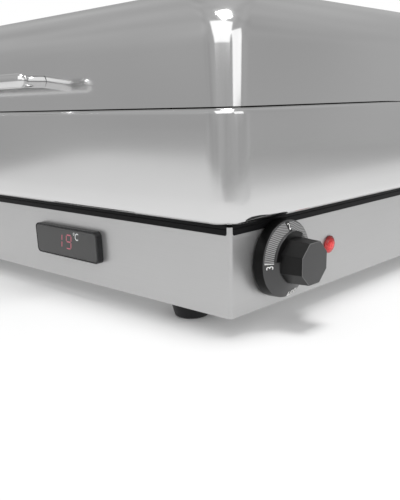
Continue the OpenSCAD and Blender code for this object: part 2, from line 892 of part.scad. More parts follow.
module display_housing() {
  corner_r = 4;
  recess_z = display_reach - window_sink - window_t;
  inner_w = display_w - 2 * bezel_w;
  inner_h = display_h - 2 * bezel_w;
  color([0.08, 0.08, 0.09]) on_front(display_x, display_z) {
    difference() {
      union() {
        slab(display_w, display_h, corner_r, 0, display_reach);
        slab(tub_w, tub_h, tub_r, -tub_l, 0);
      }
      slab(inner_w, inner_h, corner_r - bezel_w, recess_z, display_reach + cut);
      slab(tub_w - 2 * tub_t, tub_h - 2 * tub_t, tub_t, tub_t - tub_l, recess_z + cut);
    }
    four(tub_w / 2 - 3 * tub_t, tub_h / 2 - 3 * tub_t) rod(boss_r, tub_t - tub_l, board_z);
  }
}

module display_window() {
  z1 = display_reach - window_sink;
  play = 2 * bezel_w + 2 * hole_play;
  color([0.3, 0.3, 0.31, 0.9]) on_front(display_x, display_z)
    slab(display_w - play, display_h - play, display_reach / 3, z1 - window_t, z1);
}

module display_board() {
  color([0.1, 0.35, 0.2]) on_front(display_x, display_z)
    slab(tub_w - 2 * tub_t - 2, tub_h - 2 * tub_t - 2 * move_gap, board_t / 2, board_z, board_z + board_t);
}

// Two seven-segment figures; each segment is [x, y, turned] in half figures
segments = [[0, 2, 0], [1, 1, 1], [1, -1, 1], [0, -2, 0], [-1, -1, 1], [-1, 1, 1], [0, 0, 0]];
figures = [[1, 2], [0, 1, 2, 3, 5, 6]];

module display_digits() {
  bar_l = segment_l - segment_t - segment_gap;
  on_front(display_x + digits_x, display_z) {
    color([0.2, 0.2, 0.2]) slab(digits_w, digits_h, segment_t, board_z + board_t, digits_z1);
    color("red") for (f = [0, 1], i = figures[f]) {
      s = segments[i];
      translate([(f - 0.5) * digit_pitch + s[0] * segment_l / 2, s[1] * segment_l / 2, digits_z1])
        rotate([0, 0, 90 * s[2]])
          translate([-bar_l / 2, -segment_t / 2, 0]) cube([bar_l, segment_t, move_gap]);
    }
  }
}

module display_clips() {
  color("silver") on_front(display_x, display_z) for (s = [0, 180]) rotate([0, 0, s])
    translate([tub_w / 2 + fit_gap, clip_w / 2, -sheet_t - fit_gap])
      rotate([90, 0, 0])
        linear_extrude(clip_w) polygon([[0, 0], [clip_reach, 0], [0, -clip_l]]);
}

// Temperature probe of the display, on a lug at the front left stud
lug_r = 5.5;
lug_t = 1.2;
lug_l = 17;
probe_r = 2.2;
probe_l = 16;

module display_probe() {
  color([0.75, 0.75, 0.72]) translate([-stud_x, -stud_y, 0]) rotate([0, 0, -135]) {
    difference() {
      union() {
        rod(lug_r, wall_z1 - lug_t, wall_z1);
        translate([-lug_l - probe_r, -lug_r / 2, wall_z1 - lug_t]) cube([lug_l, lug_r, lug_t]);
      }
      rod(m5_r + hole_play, wall_z1 - 2 * lug_t, wall_z1 + cut);
    }
    translate([-lug_l - probe_l, 0, wall_z1 - probe_r - fit_gap]) rotate([0, 90, 0]) difference() {
      rod(probe_r, 0, probe_l);
      translate([-2 * probe_r, -probe_r, probe_l - 2 * probe_r])
        cube([probe_r + lug_t, 2 * probe_r, 2 * probe_r + cut]);
    }
  }
}

// Mains inlet in the rear wall
inlet_flange_w = 48;
inlet_flange_h = 24;
inlet_flange_t = 2.5;
inlet_l = 22;
inlet_wall = 1.5;
inlet_screw_l = 6;
inlet_recess_l = 16;
pin_w = 2;
pin_h = 4;
pin_x = 7;
pin_down = 1;
pin_start = 3;
pin_tail = 4;

module power_inlet() {
  color([0.1, 0.1, 0.1]) on_rear(inlet_x, inlet_z) difference() {
    union() {
      slab(inlet_flange_w, inlet_flange_h, inlet_r, 0, inlet_flange_t);
      slab(inlet_w, inlet_h, inlet_r, -inlet_l, 0);
    }
    slab(inlet_w - 2 * inlet_wall, inlet_h - 2 * inlet_wall, inlet_r - inlet_wall,
      inlet_flange_t - inlet_recess_l - pin_start, inlet_flange_t + cut);
    for (s = [-1, 1]) translate([s * inlet_screw_x, 0, 0])
      rod(m4_r + hole_play, -cut, inlet_flange_t + cut);
    at_pins() cube([pin_w, pin_h, 2 * inlet_l], center = true);
  }
}

// Line and neutral side by side, earth above them
module at_pins() {
  for (p = [[-pin_x, -pin_down], [pin_x, -pin_down], [0, pin_h - pin_down]])
    translate([p[0], p[1], 0]) children();
}

module inlet_pins() {
  color("goldenrod") on_rear(inlet_x, inlet_z) at_pins()
    translate([-pin_w / 2, -pin_h / 2, -inlet_l - pin_tail])
      cube([pin_w, pin_h, inlet_l + pin_tail - pin_start + fit_gap]);
}

module inlet_screws() {
  color("lightgray") on_rear(inlet_x, inlet_z) for (s = [-1, 1]) translate([s * inlet_screw_x, 0, 0]) {
    translate([0, 0, inlet_flange_t]) screw(m4_r, inlet_flange_t + inlet_screw_l);
    translate([0, 0, -sheet_t - m4_r * nut_h_share]) nut(m4_r);
  }
}

// Terminal block on the bottom cover, and the earth bolt beside it
block_holes = 4;
block_pitch = 10;
block_hole_r = lead_r + move_gap;
block_z0 = wall_z0 + sheet_t;
block_mid_z = block_z0 + block_h / 2;

function block_hole_x(i) = block_x + (i - (block_holes - 1) / 2) * block_pitch;

module at_block_pegs() {
  for (s = [-1, 1]) translate([block_x + s * (block_w / 2 - block_peg_in), block_y, 0]) children();
}

module terminal_block() {
  color([0.92, 0.92, 0.9]) {
    difference() {
      translate([block_x, block_y, 0]) slab(block_w, block_d, cut, block_z0, block_z0 + block_h);
      for (i = [0:block_holes - 1]) translate([block_hole_x(i), block_y, block_mid_z]) {
        rotate([90, 0, 0]) rod(block_hole_r, -block_d, block_d);
        rod(block_hole_r, block_h / 4, block_h);
      }
    }
    at_block_pegs() rod(block_peg_r, wall_z0, block_z0);
  }
}

module earth_bolt() {
  color("lightgray") translate([earth_x, earth_y, 0]) {
    translate([0, 0, wall_z0]) mirror([0, 0, 1]) screw(m4_r, earth_bolt_l);
    translate([0, 0, block_z0]) ring(2 * m4_r + cut, m4_r + fit_gap, 0, sheet_t);
    translate([0, 0, block_z0 + sheet_t]) nut(m4_r);
  }
}

// Inner leads: their ends are named places, their middles lie low in the base
low_z = wall_z0 + wall_h / 4;
mid_z = wall_z0 + wall_h / 2;
pin_y = body_d / 2 - inlet_l - pin_tail - fit_gap;
block_rear = [0, block_y + 4, block_mid_z];
block_front = [0, block_y - 4, block_mid_z];

function block_way(i, near, far) = [
  near + [block_hole_x(i), 0, 0],
  near + [block_hole_x(i), far, 0]
];

module supply_leads() {
  color([0.45, 0.25, 0.15]) {
    for (i = [0, block_holes - 1]) {
      x = inlet_x + (i == 0 ? -pin_x : pin_x);
      way = block_way(i, block_rear, 12);
      lead([
        [x, pin_y, inlet_z - pin_down], [x, pin_y - 12, inlet_z - pin_down],
        way[1] + [0, 14, 0], way[1], way[0]
      ], lead_r);
    }
    lead([
      [inlet_x, pin_y, inlet_z + pin_h - pin_down], [inlet_x, pin_y - 8, inlet_z + pin_h - pin_down],
      [earth_x - 4, earth_y + 20, mid_z], [earth_x, earth_y, mid_z],
      [earth_x, earth_y, wall_z0 + earth_bolt_l]
    ], lead_r);
  }
}

module heater_leads() {
  color([0.85, 0.85, 0.8]) {
    lead(concat(block_way(3, block_front, -14), [
      [body_w / 2 - 45, 20, low_z], [body_w / 2 - 45, -60, low_z], [can_x - 20, knob_y + 8, knob_z - 8],
      [can_x - fit_gap, knob_y + 8, knob_z - 8]
    ]), lead_r);
    lead([
      [can_x - fit_gap, knob_y - 8, knob_z - 8], [can_x - 20, knob_y - 8, knob_z - 8],
      [body_w / 2 - 138, 28 - stud_y, low_z], [78 - body_w / 2, 28 - stud_y, low_z],
      [18 - stud_x, -110, mid_z],
      [terminal_x - 22, run_y(0), mid_z + 10], [terminal_x - 18, run_y(0), element_z],
      [terminal_x - terminal_l - fit_gap, run_y(0), element_z]
    ], lead_r);
    lead(concat(block_way(0, block_front, -14), [
      [body_w / 2 - 138, 60, low_z], [138 - body_w / 2, 80, low_z], [terminal_x, run_y(3) + 30, low_z],
      [terminal_x - 22, run_y(3) + 10, mid_z + 10], [terminal_x - 18, run_y(3), element_z],
      [terminal_x - terminal_l - fit_gap, run_y(3), element_z]
    ]), lead_r);
  }
}

module signal_leads() {
  tub_y = tub_l - body_d / 2;
  probe_in = (lug_l + probe_l + fit_gap) * sqrt(1 / 2);
  probe_z = wall_z1 - probe_r - fit_gap;
  lamp_x = body_w / 2 - sheet_t - lamp_body_l - fit_gap;
  color([0.3, 0.3, 0.35]) {
    lead(concat(block_way(2, block_front, -12), [
      [body_w / 2 - 56, 40, low_z], [body_w / 2 - 56, lamp_y + 30, mid_z - 8],
      [lamp_x - 14, lamp_y, lamp_z], [lamp_x, lamp_y, lamp_z]
    ]), capillary_r);
    lead(concat(block_way(1, block_front, -12), [
      [body_w / 2 - 138, 20, low_z], [body_w / 2 - 168, -80, low_z], [display_x - 10, tub_y + 20, display_z],
      [display_x - 10, tub_y + fit_gap, display_z]
    ]), capillary_r);
    lead([
      [probe_in - stud_x, probe_in - stud_y, probe_z],
      [probe_in - stud_x + 5, probe_in - stud_y + 5, probe_z],
      [probe_in - stud_x + 8, probe_in - stud_y + 8, mid_z + 8],
      [78 - body_w / 2, 38 - stud_y, mid_z + 4], [20, 36 - stud_y, mid_z + 4],
      [display_x - 22, tub_y + 16, display_z], [display_x - 22, tub_y + fit_gap, display_z]
    ], capillary_r);
  }
}

module capillary() {
  color([0.8, 0.5, 0.35]) lead([
    [bulb_x1 + fit_gap, element_pitch, bulb_z], [bulb_x1 + 6, element_pitch, bulb_z],
    [bulb_x1 + 8, 40, clamp_z0 - 2], [4, 28, insulation_z0 + 2], [0, 25, mid_z + 6],
    [140, -40, low_z + 12], [can_x - 24, knob_y, knob_z + 4], [can_x - fit_gap, knob_y, knob_z + 4]
  ], capillary_r);
}

// Lift-out food pan: flange, tapering walls and a rounded floor
function pan_ring(inset, z, corner) = inset_ring(pan_w, pan_d, inset, z, corner);

function pan_skin(inset, floor_z) =
  let (low_in = pan_flange_w + pan_taper_share * pan_h, r = pan_floor_r - inset)
  concat(
    bend(pan_w, pan_d, low_in + pan_floor_r, floor_z + r, r, pan_body_r - pan_floor_r, -90, 0),
    [pan_ring(pan_flange_w + inset, pan_z, pan_body_r - inset)]
  );

module food_pan() {
  outer = pan_skin(0, pan_z - pan_h - sheet_t);
  inner = pan_skin(sheet_t, pan_z - pan_h);
  flange = [
    pan_ring(0, pan_z, pan_corner_r),
    pan_ring(0, pan_z + sheet_t, pan_corner_r),
    pan_ring(pan_flange_w + sheet_t, pan_z + sheet_t, pan_body_r - sheet_t)
  ];
  color("whitesmoke") loft(concat(outer, flange, [for (i = [len(inner) - 1:-1:0]) inner[i]]));
}

// Dome lid: leaning wall, large shoulder and a slightly crowned top
function lid_ring(inset, z, skin) =
  let (hw = lid_w / 2 - inset, hd = lid_d / 2 - inset)
  [hw, hd, z, min(lid_corner_r + lid_corner_growth_share * (inset - skin), lid_corner_share * hd) - skin];

function lid_skin(skin) =
  let (
    top_in = lid_lean_share * lid_wall_h + lid_shoulder_r,
    spring_z = lid_z + lid_wall_h,
    flat = lid_d / 2 - top_in
  )
  concat(
    [lid_ring(skin, lid_z, skin)],
    [
      for (s = [0:bend_steps + 2])
        let (a = 90 * s / (bend_steps + 2), r = lid_shoulder_r - skin)
        lid_ring(top_in - r * cos(a), spring_z + r * sin(a), skin)
    ],
    [
      for (share = crown_shares)
        let (rise = lid_crown_h * share * (2 - share))
        lid_ring(top_in + share * flat, spring_z + lid_shoulder_r - skin + rise, skin)
    ]
  );

module lid() {
  outer = lid_skin(0);
  inner = lid_skin(sheet_t);
  color("gainsboro") difference() {
    loft(concat([for (i = [len(inner) - 1:-1:0]) inner[i]], outer));
    at_arm_rivets() rod(rivet_r + fit_gap, -hinge_out, hinge_out);
    at_posts() rod(m5_r + hole_play, -post_r, post_r);
  }
}

module lid_bumpers() {
  color([0.2, 0.2, 0.2]) four(lid_w / 2 - bumper_in, lid_d / 2 - bumper_r)
    rod(bumper_r, deck_z, deck_z + bumper_h);
}

// Handle: two posts screwed through the lid wall and a round bar across them
module at_posts() {
  for (s = [-1, 1]) translate([s * post_span_share * handle_l / 2, -handle_wall_y, handle_z])
    rotate([90, 0, 0]) children();
}

post_z0 = lid_lean_share * post_r + fit_gap;
bar_z = handle_gap + handle_d / 2;

module handle_posts() {
  color("silver") difference() {
    at_posts() difference() {
      rod(post_r, post_z0, bar_z);
      rod(m5_r + fit_gap, post_z0 - cut, handle_gap / 2);
    }
    handle_bar(fit_gap);
  }
}

module handle_bar(grow) {
  r = handle_d / 2 + grow;
  l = handle_l / 2 - r;
  translate([0, -handle_y, handle_z]) {
    rotate([0, 90, 0]) rod(r, -l, l);
    for (s = [-1, 1]) translate([s * l, 0, 0]) sphere(r);
  }
}

module lid_handle() {
  color("silver") handle_bar(0);
}

module handle_screws() {
  seat = lid_lean_share * m5_r * head_r_share + sheet_t + 2 * fit_gap;
  color("lightgray") at_posts() translate([0, 0, -seat])
    mirror([0, 0, 1]) screw(m5_r, seat + handle_gap / 2 - cut);
}

// Hinges: brackets on the vessel, arms on the lid, and a pin through each pair
function vessel_y(z) = vessel_d / 2 - vessel_inset(z) + fit_gap;

function lid_y(z) = lid_d / 2 - lid_lean_share * (z - lid_z) + fit_gap;

module at_hinge(side) {
  translate([side * hinge_span / 2, 0, 0]) children();
}

module hinge_axis() {
  translate([0, hinge_y, hinge_z]) rotate([0, 90, 0]) children();
}

module hinge_bracket(side) {
  z1 = deck_z - bracket_down;
  z0 = z1 - bracket_h;
  knee = z0 + web_h;
  ear_in = knuckle_w / 2 + ear_gap;
  color("silver") at_hinge(side) difference() {
    union() {
      along_x(2 * (ear_in + ear_t))
        polygon([
          [vessel_y(z0), z0], [vessel_y(z1), z1], [vessel_y(z1) + plate_t, z1], [vessel_y(z0) + plate_t, z0]
        ]);
      for (s = [-1, 1]) translate([s * (ear_in + ear_t / 2), 0, 0]) along_x(ear_t) {
        polygon([
          [vessel_y(knee) + plate_t / 2, knee], [hinge_y + knuckle_r, hinge_z],
          [hinge_y - knuckle_r, hinge_z], [vessel_y(z1) + plate_t / 2, z1]
        ]);
        translate([hinge_y, hinge_z]) circle(knuckle_r);
      }
    }
    hinge_axis() rod(hinge_pin_d / 2 + fit_gap / 2, -body_w / 2, body_w / 2);
    for (share = rivet_shares) translate([0, vessel_y(z0), z0 + share * bracket_h])
      rotate([-90, 0, 0]) rod(rivet_r + fit_gap, -hinge_out, hinge_out);
  }
}

module hinge_bracket_left() { hinge_bracket(-1); }
module hinge_bracket_right() { hinge_bracket(1); }

module lid_arm(side) {
  z0 = lid_z + arm_up;
  z1 = z0 + arm_h;
  web = z0 + web_h;
  color("silver") at_hinge(side) difference() {
    union() {
      along_x(knuckle_w)
        polygon([[lid_y(z0), z0], [lid_y(z1), z1], [lid_y(z1) + plate_t, z1], [lid_y(z0) + plate_t, z0]]);
      along_x(knuckle_w) {
        polygon([
          [lid_y(z0) + plate_t / 2, z0 + plate_t / 2], [hinge_y - knuckle_r, hinge_z],
          [hinge_y + knuckle_r, hinge_z], [lid_y(web) + plate_t / 2, web]
        ]);
        translate([hinge_y, hinge_z]) circle(knuckle_r);
      }
    }
    hinge_axis() rod(hinge_pin_d / 2 + fit_gap, -knuckle_w, knuckle_w);
    for (s = [-1, 1]) translate([s * arm_rivet_x, lid_y(z1), (web + z1) / 2])
      rotate([-90, 0, 0]) rod(rivet_r + fit_gap, -hinge_out, hinge_out);
  }
}

module lid_arm_left() { lid_arm(-1); }
module lid_arm_right() { lid_arm(1); }

module hinge_pins() {
  reach = knuckle_w / 2 + ear_gap + ear_t + fit_gap;
  color("silver") for (side = [-1, 1]) at_hinge(side) hinge_axis() {
    rod(hinge_pin_d / 2, -reach, reach);
    for (s = [-1, 1]) translate([0, 0, s * (reach + sheet_t / 2)])
      rod(pin_head_share * hinge_pin_d, -sheet_t / 2, sheet_t / 2);
  }
}

// Rivets along local z, with z = 0 on the wall's outer face and +z outwards
module rivet(lean) {
  r = rivet_r * head_r_share;
  slip = lean * r + fit_gap;
  rod(rivet_r, -sheet_t - slip, plate_t + slip);
  rod(r, plate_t + slip, plate_t + slip + sheet_t);
  rod(r, -2 * sheet_t - slip, -sheet_t - slip);
}

module at_bracket_rivets() {
  z0 = deck_z - bracket_down - bracket_h;
  for (side = [-1, 1], share = rivet_shares) {
    z = z0 + share * bracket_h;
    translate([side * hinge_span / 2, vessel_y(z), z]) rotate([-90, 0, 0]) children();
  }
}

module at_arm_rivets() {
  z = lid_z + arm_up + (web_h + arm_h) / 2;
  for (side = [-1, 1], s = [-1, 1])
    translate([side * hinge_span / 2 + s * arm_rivet_x, lid_y(z), z]) rotate([-90, 0, 0]) children();
}

module bracket_rivets() {
  color("lightgray") at_bracket_rivets() rivet(vessel_lean_share);
}

module arm_rivets() {
  color("lightgray") at_arm_rivets() rivet(lid_lean_share);
}

placed() housing();
placed() strip_front();
placed() strip_right();
placed() strip_rear();
placed() strip_left();
placed() bottom_cover();
placed() cover_screws();
placed() foot_front_right();
placed() foot_front_left();
placed() foot_rear_right();
placed() foot_rear_left();
placed() foot_screws();
placed() vessel();
placed() vessel_studs();
placed() stud_nuts();
placed() heat_spreader();
placed() heating_element();
placed() element_terminals();
placed() element_clamps();
placed() insulation();
placed() heat_shield();
placed() thermal_cutout();
placed() sensing_bulb();
placed() bulb_clip();
placed() capillary();
placed() thermostat_body();
placed() thermostat_shaft();
placed() thermostat_screws();
placed() knob();
placed() knob_scale();
placed() knob_clip();
placed() lamp_lens();
placed() lamp_body();
placed() display_housing();
placed() display_window();
placed() display_board();
placed() display_digits();
placed() display_clips();
placed() display_probe();
placed() power_inlet();
placed() inlet_pins();
placed() inlet_screws();
placed() terminal_block();
placed() earth_bolt();
placed() supply_leads();
placed() heater_leads();
placed() signal_leads();
placed() food_pan();
placed() lid();
placed() lid_handle();
placed() handle_posts();
placed() handle_screws();
placed() lid_bumpers();
placed() hinge_bracket_left();
placed() hinge_bracket_right();
placed() lid_arm_left();
placed() lid_arm_right();
placed() hinge_pins();
placed() bracket_rivets();
placed() arm_rivets();
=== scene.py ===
import bpy
import bmesh
import json
from math import atan2, copysign, cos, degrees, pi, radians, sin
from mathutils import Matrix, Vector


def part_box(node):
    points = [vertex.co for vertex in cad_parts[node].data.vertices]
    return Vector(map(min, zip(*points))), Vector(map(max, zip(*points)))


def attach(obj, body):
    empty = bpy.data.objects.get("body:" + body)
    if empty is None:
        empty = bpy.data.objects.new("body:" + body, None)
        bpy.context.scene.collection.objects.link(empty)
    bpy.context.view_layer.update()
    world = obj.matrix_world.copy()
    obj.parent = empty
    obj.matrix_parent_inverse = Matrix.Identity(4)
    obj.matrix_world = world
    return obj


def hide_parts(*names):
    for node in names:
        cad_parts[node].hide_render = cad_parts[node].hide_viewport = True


# Electric chafing dish: the looks of its pieces, its light and its camera
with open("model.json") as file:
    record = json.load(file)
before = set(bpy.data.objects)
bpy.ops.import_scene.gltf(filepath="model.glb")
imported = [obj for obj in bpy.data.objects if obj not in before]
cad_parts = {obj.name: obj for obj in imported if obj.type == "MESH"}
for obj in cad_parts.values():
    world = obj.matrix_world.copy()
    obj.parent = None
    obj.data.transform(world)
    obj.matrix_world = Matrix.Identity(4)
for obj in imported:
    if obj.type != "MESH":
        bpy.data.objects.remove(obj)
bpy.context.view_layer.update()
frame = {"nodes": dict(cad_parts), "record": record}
mm = 0.001
nodes = frame["nodes"]
slots = {part["node"]: part["material_slot"] for part in frame["record"]["subparts"]}
baseLow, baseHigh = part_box("housing")
print("frame loaded:", len(nodes), "pieces")


# A number that runs through a shader, so that its sums are written as plain Python
class Wire:
    def __init__(self, tree, socket):
        self.tree = tree
        self.socket = socket

    def maths(self, operation, *values):
        node = self.tree.nodes.new("ShaderNodeMath")
        node.operation = operation
        for value, socket in zip(values or (self,), node.inputs):
            join(self.tree, value, socket)
        return Wire(self.tree, node.outputs[0])

    def __add__(self, other): return self.maths("ADD", self, other)
    def __radd__(self, other): return self.maths("ADD", other, self)
    def __sub__(self, other): return self.maths("SUBTRACT", self, other)
    def __rsub__(self, other): return self.maths("SUBTRACT", other, self)
    def __mul__(self, other): return self.maths("MULTIPLY", self, other)
    def __rmul__(self, other): return self.maths("MULTIPLY", other, self)


def join(tree, value, socket):
    if isinstance(value, Wire):
        tree.links.new(value.socket, socket)
    else:
        socket.default_value = value


# Nodes that surfaces and the room around them share
class Shades:
    def __init__(self, tree, place):
        self.tree = tree
        self.place = self.node("ShaderNodeTexCoord", output=place)

    # Values go into the first sockets in order, and named ones into the sockets of that name
    def node(self, kind, *values, output=0, settings=None, **sockets):
        made = self.tree.nodes.new(kind)
        for name, value in (settings or {}).items():
            setattr(made, name, value)
        for value, socket in zip(values, made.inputs):
            join(self.tree, value, socket)
        for name, value in sockets.items():
            join(self.tree, value, made.inputs[name.replace("_", " ")])
        return Wire(self.tree, made.outputs[output])

    def noise(self, scale, detail=3.0, vector=None):
        where = vector or self.place
        return self.node("ShaderNodeTexNoise", output="Fac", Vector=where, Scale=scale, Detail=detail)

    def spread(self, value, low, high):
        return self.node("ShaderNodeMapRange", Value=value, From_Min=low, From_Max=high)

    def parts(self):
        first = self.node("ShaderNodeSeparateXYZ", self.place)
        return [Wire(self.tree, output) for output in first.socket.node.outputs]

    # How far a place on the side wall lies behind, above and away from a centre
    def fromCentre(self, centre):
        x, y, z = self.parts()
        across, upward = y - centre.y, z - centre.z
        return across, upward, (across * across + upward * upward).maths("SQRT")

    # 1 for rays of these kinds, 0 for the others
    def rays(self, *kinds):
        path = self.tree.nodes.new("ShaderNodeLightPath")
        seen = Wire(self.tree, path.outputs[kinds[0]])
        for kind in kinds[1:]:
            seen = seen.maths("MAXIMUM", seen, Wire(self.tree, path.outputs[kind]))
        return seen


class Finish(Shades):
    def __init__(self, name):
        self.material = bpy.data.materials.new(name)
        self.material.use_nodes = True
        super().__init__(self.material.node_tree, "Object")
        self.shader = self.tree.nodes["Principled BSDF"]

    def stretched(self, x, y, z):
        return self.node("ShaderNodeMapping", Vector=self.place, Scale=(x, y, z))

    def colours(self, factor, first, second):
        made = self.tree.nodes.new("ShaderNodeMix")
        made.data_type = "RGBA"
        for value, place in ((factor, 0), (first, 6), (second, 7)):  # the sockets of a colour mix
            join(self.tree, value, made.inputs[place])
        return Wire(self.tree, made.outputs[2])

    def bump(self, height, distance, strength):
        normal = self.node("ShaderNodeBump", Height=height, Distance=distance, Strength=strength)
        self.set(Normal=normal)

    def set(self, **sockets):
        for name, value in sockets.items():
            join(self.tree, value, self.shader.inputs[name.replace("_", " ")])


def grey(value):
    return (value, value, value, 1.0)


def opaque(colour, factor=1.0, lift=0.0):
    return tuple(min(part * factor + lift, 1.0) for part in colour[:3]) + (1.0,)


# Finishes: one function for each kind of surface
def satinSteel(name, tone, rough, grain, metal=1.0):
    paint = Finish(name)
    lines = paint.noise(1.0, 4.0, paint.stretched(*grain))
    cloud = paint.noise(9.0, 2.0)
    mark = paint.spread(lines, 0.3, 0.7)
    paint.set(Metallic=metal)
    paint.set(Base_Color=paint.colours(mark, grey(tone * 0.96), grey(tone)))
    paint.set(Roughness=rough - 0.03 + 0.06 * mark + 0.03 * cloud)
    paint.bump(lines, 0.00003, 0.35)
    return paint.material


def polishedSteel(name, tone, rough):
    paint = Finish(name)
    wipe = paint.noise(14.0, 3.0)
    fine = paint.noise(420.0, 2.0)
    paint.set(Metallic=1.0)
    paint.set(Base_Color=paint.colours(wipe, grey(tone), grey(tone * 0.97)))
    paint.set(Roughness=rough + 0.05 * wipe + 0.02 * fine)
    paint.bump(paint.noise(5.0, 1.0), 0.0006, 0.12)
    return paint.material


def platedMetal(name, colour, rough):
    paint = Finish(name)
    cloud = paint.noise(60.0, 4.0)
    paint.set(Metallic=1.0)
    paint.set(Base_Color=paint.colours(cloud, opaque(colour, 0.72), opaque(colour)))
    paint.set(Roughness=rough - 0.08 + 0.16 * cloud)
    paint.bump(paint.noise(720.0, 2.0), 0.00005, 0.4)
    return paint.material


def mouldedPlastic(name, colour, rough, texture=0.00006, shine=0.5):
    paint = Finish(name)
    cloud = paint.noise(40.0, 3.0)
    paint.set(Base_Color=paint.colours(cloud, opaque(colour), opaque(colour, 1.25, 0.004)))
    paint.set(Roughness=rough - 0.04 + 0.08 * cloud, Specular_IOR_Level=shine)
    paint.bump(paint.noise(1800.0, 2.0), texture, 0.5)
    return paint.material


def softRubber(name, colour, rough=0.62):
    paint = Finish(name)
    dust = paint.spread(paint.noise(55.0, 5.0), 0.45, 0.8)
    paint.set(Base_Color=paint.colours(dust, opaque(colour), opaque(colour, 1.3, 0.006)))
    paint.set(Roughness=rough + 0.12 * dust, Specular_IOR_Level=0.3)
    paint.bump(paint.noise(900.0, 3.0), 0.0001, 0.6)
    return paint.material


def pressedWool(name):
    paint = Finish(name)
    fibre = paint.noise(260.0, 6.0, paint.stretched(1, 2.4, 1))
    paint.set(Base_Color=paint.colours(fibre, (0.62, 0.55, 0.4, 1), (0.9, 0.87, 0.76, 1)))
    paint.set(Roughness=0.95)
    paint.bump(fibre, 0.0012, 0.9)
    return paint.material


def printedInk(name, colour):
    paint = Finish(name)
    wear = paint.spread(paint.noise(700.0, 4.0), 0.62, 0.75)
    paint.set(Base_Color=paint.colours(wear, opaque(colour), opaque(colour, 0.88)))
    paint.set(Roughness=0.5 + 0.15 * wear)
    return paint.material


# Scale band of the dial: dark lines that run along the band at the top and turn across it
bandLines = {"top": 88, "turned": 91, "still": 0.1, "inner": 22.0, "along": 5.4, "across": 60, "late": 40}


def sweptLines(name, centre):
    paint = Finish(name)
    across, upward, radius = paint.fromCentre(centre)
    angle = across.maths("ARCTAN2", upward, across) - radians(bandLines["top"])
    turn = paint.spread(angle.maths("ABSOLUTE"), bandLines["still"], radians(bandLines["turned"]))
    late = turn * turn
    along = (radius - bandLines["inner"] * mm) * (bandLines["along"] / mm) * (1 - late)
    phase = along - bandLines["across"] * turn - bandLines["late"] * late
    line = paint.spread(phase.maths("SINE"), -0.5, 0.3)
    paint.set(Base_Color=paint.colours(line, grey(0.05), grey(0.34)))
    paint.set(Roughness=0.42 + 0.1 * line)
    paint.bump(line, 0.00004, 0.5)
    return paint.material


# Lamp lens: its base colour and glow are bright in front of and below its middle, where the lamp's light
# shows, and the base colour darkens towards the far rim as painted shade
lens = {"brightSpot": (0, -1.2, -1.4), "bright": 1.5, "dark": 8.5, "glow": 0.2}


def redLens(name, centre):
    paint = Finish(name)
    away = paint.fromCentre(centre + Vector(lens["brightSpot"]) * mm)[2]
    rim = paint.spread(away, lens["bright"] * mm, lens["dark"] * mm)
    facets = paint.spread(paint.noise(520.0, 1.0), 0.4, 0.6)
    inner = paint.colours(facets, (0.66, 0.012, 0.016, 1), (0.9, 0.06, 0.06, 1))
    light = paint.colours(rim, (0.9, 0.05, 0.05, 1), (0, 0, 0, 1))
    # the base colour fades from the lit inner red to near black at the far rim: painted shade
    paint.set(Base_Color=paint.colours(rim, inner, (0.2, 0.002, 0.004, 1)))
    paint.set(Roughness=0.14 + 0.05 * facets, Coat_Weight=0.25, Coat_Roughness=0.05)
    paint.set(Emission_Color=light, Emission_Strength=lens["glow"])
    paint.bump(facets, 0.0002, 0.3)
    return paint.material


def smokedWindow(name):
    paint = Finish(name)
    haze = paint.noise(18.0, 2.0)
    paint.set(Base_Color=paint.colours(haze, grey(0.062), grey(0.072)))
    paint.set(Roughness=0.36 + 0.06 * haze, Alpha=0.93)
    return paint.material


def litFigure(name, colour, glow):
    paint = Finish(name)
    cell = paint.noise(900.0, 1.0)
    paint.set(Base_Color=paint.colours(cell, opaque(colour, 0.25), opaque(colour, 0.2)))
    paint.set(Roughness=0.5, Specular_IOR_Level=0.2)
    paint.set(Emission_Color=opaque(colour), Emission_Strength=glow)
    return paint.material


def circuitBoard(name):
    paint = Finish(name)
    cells = paint.node("ShaderNodeTexVoronoi", output="Distance", Vector=paint.place, Scale=260.0)
    track = paint.spread(cells, 0.25, 0.32)
    paint.set(Base_Color=paint.colours(track, (0.05, 0.2, 0.09, 1), (0.02, 0.11, 0.045, 1)))
    paint.set(Roughness=0.34 + 0.2 * track)
    return paint.material


def middleOf(node):
    low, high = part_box(node)
    return (low + high) / 2


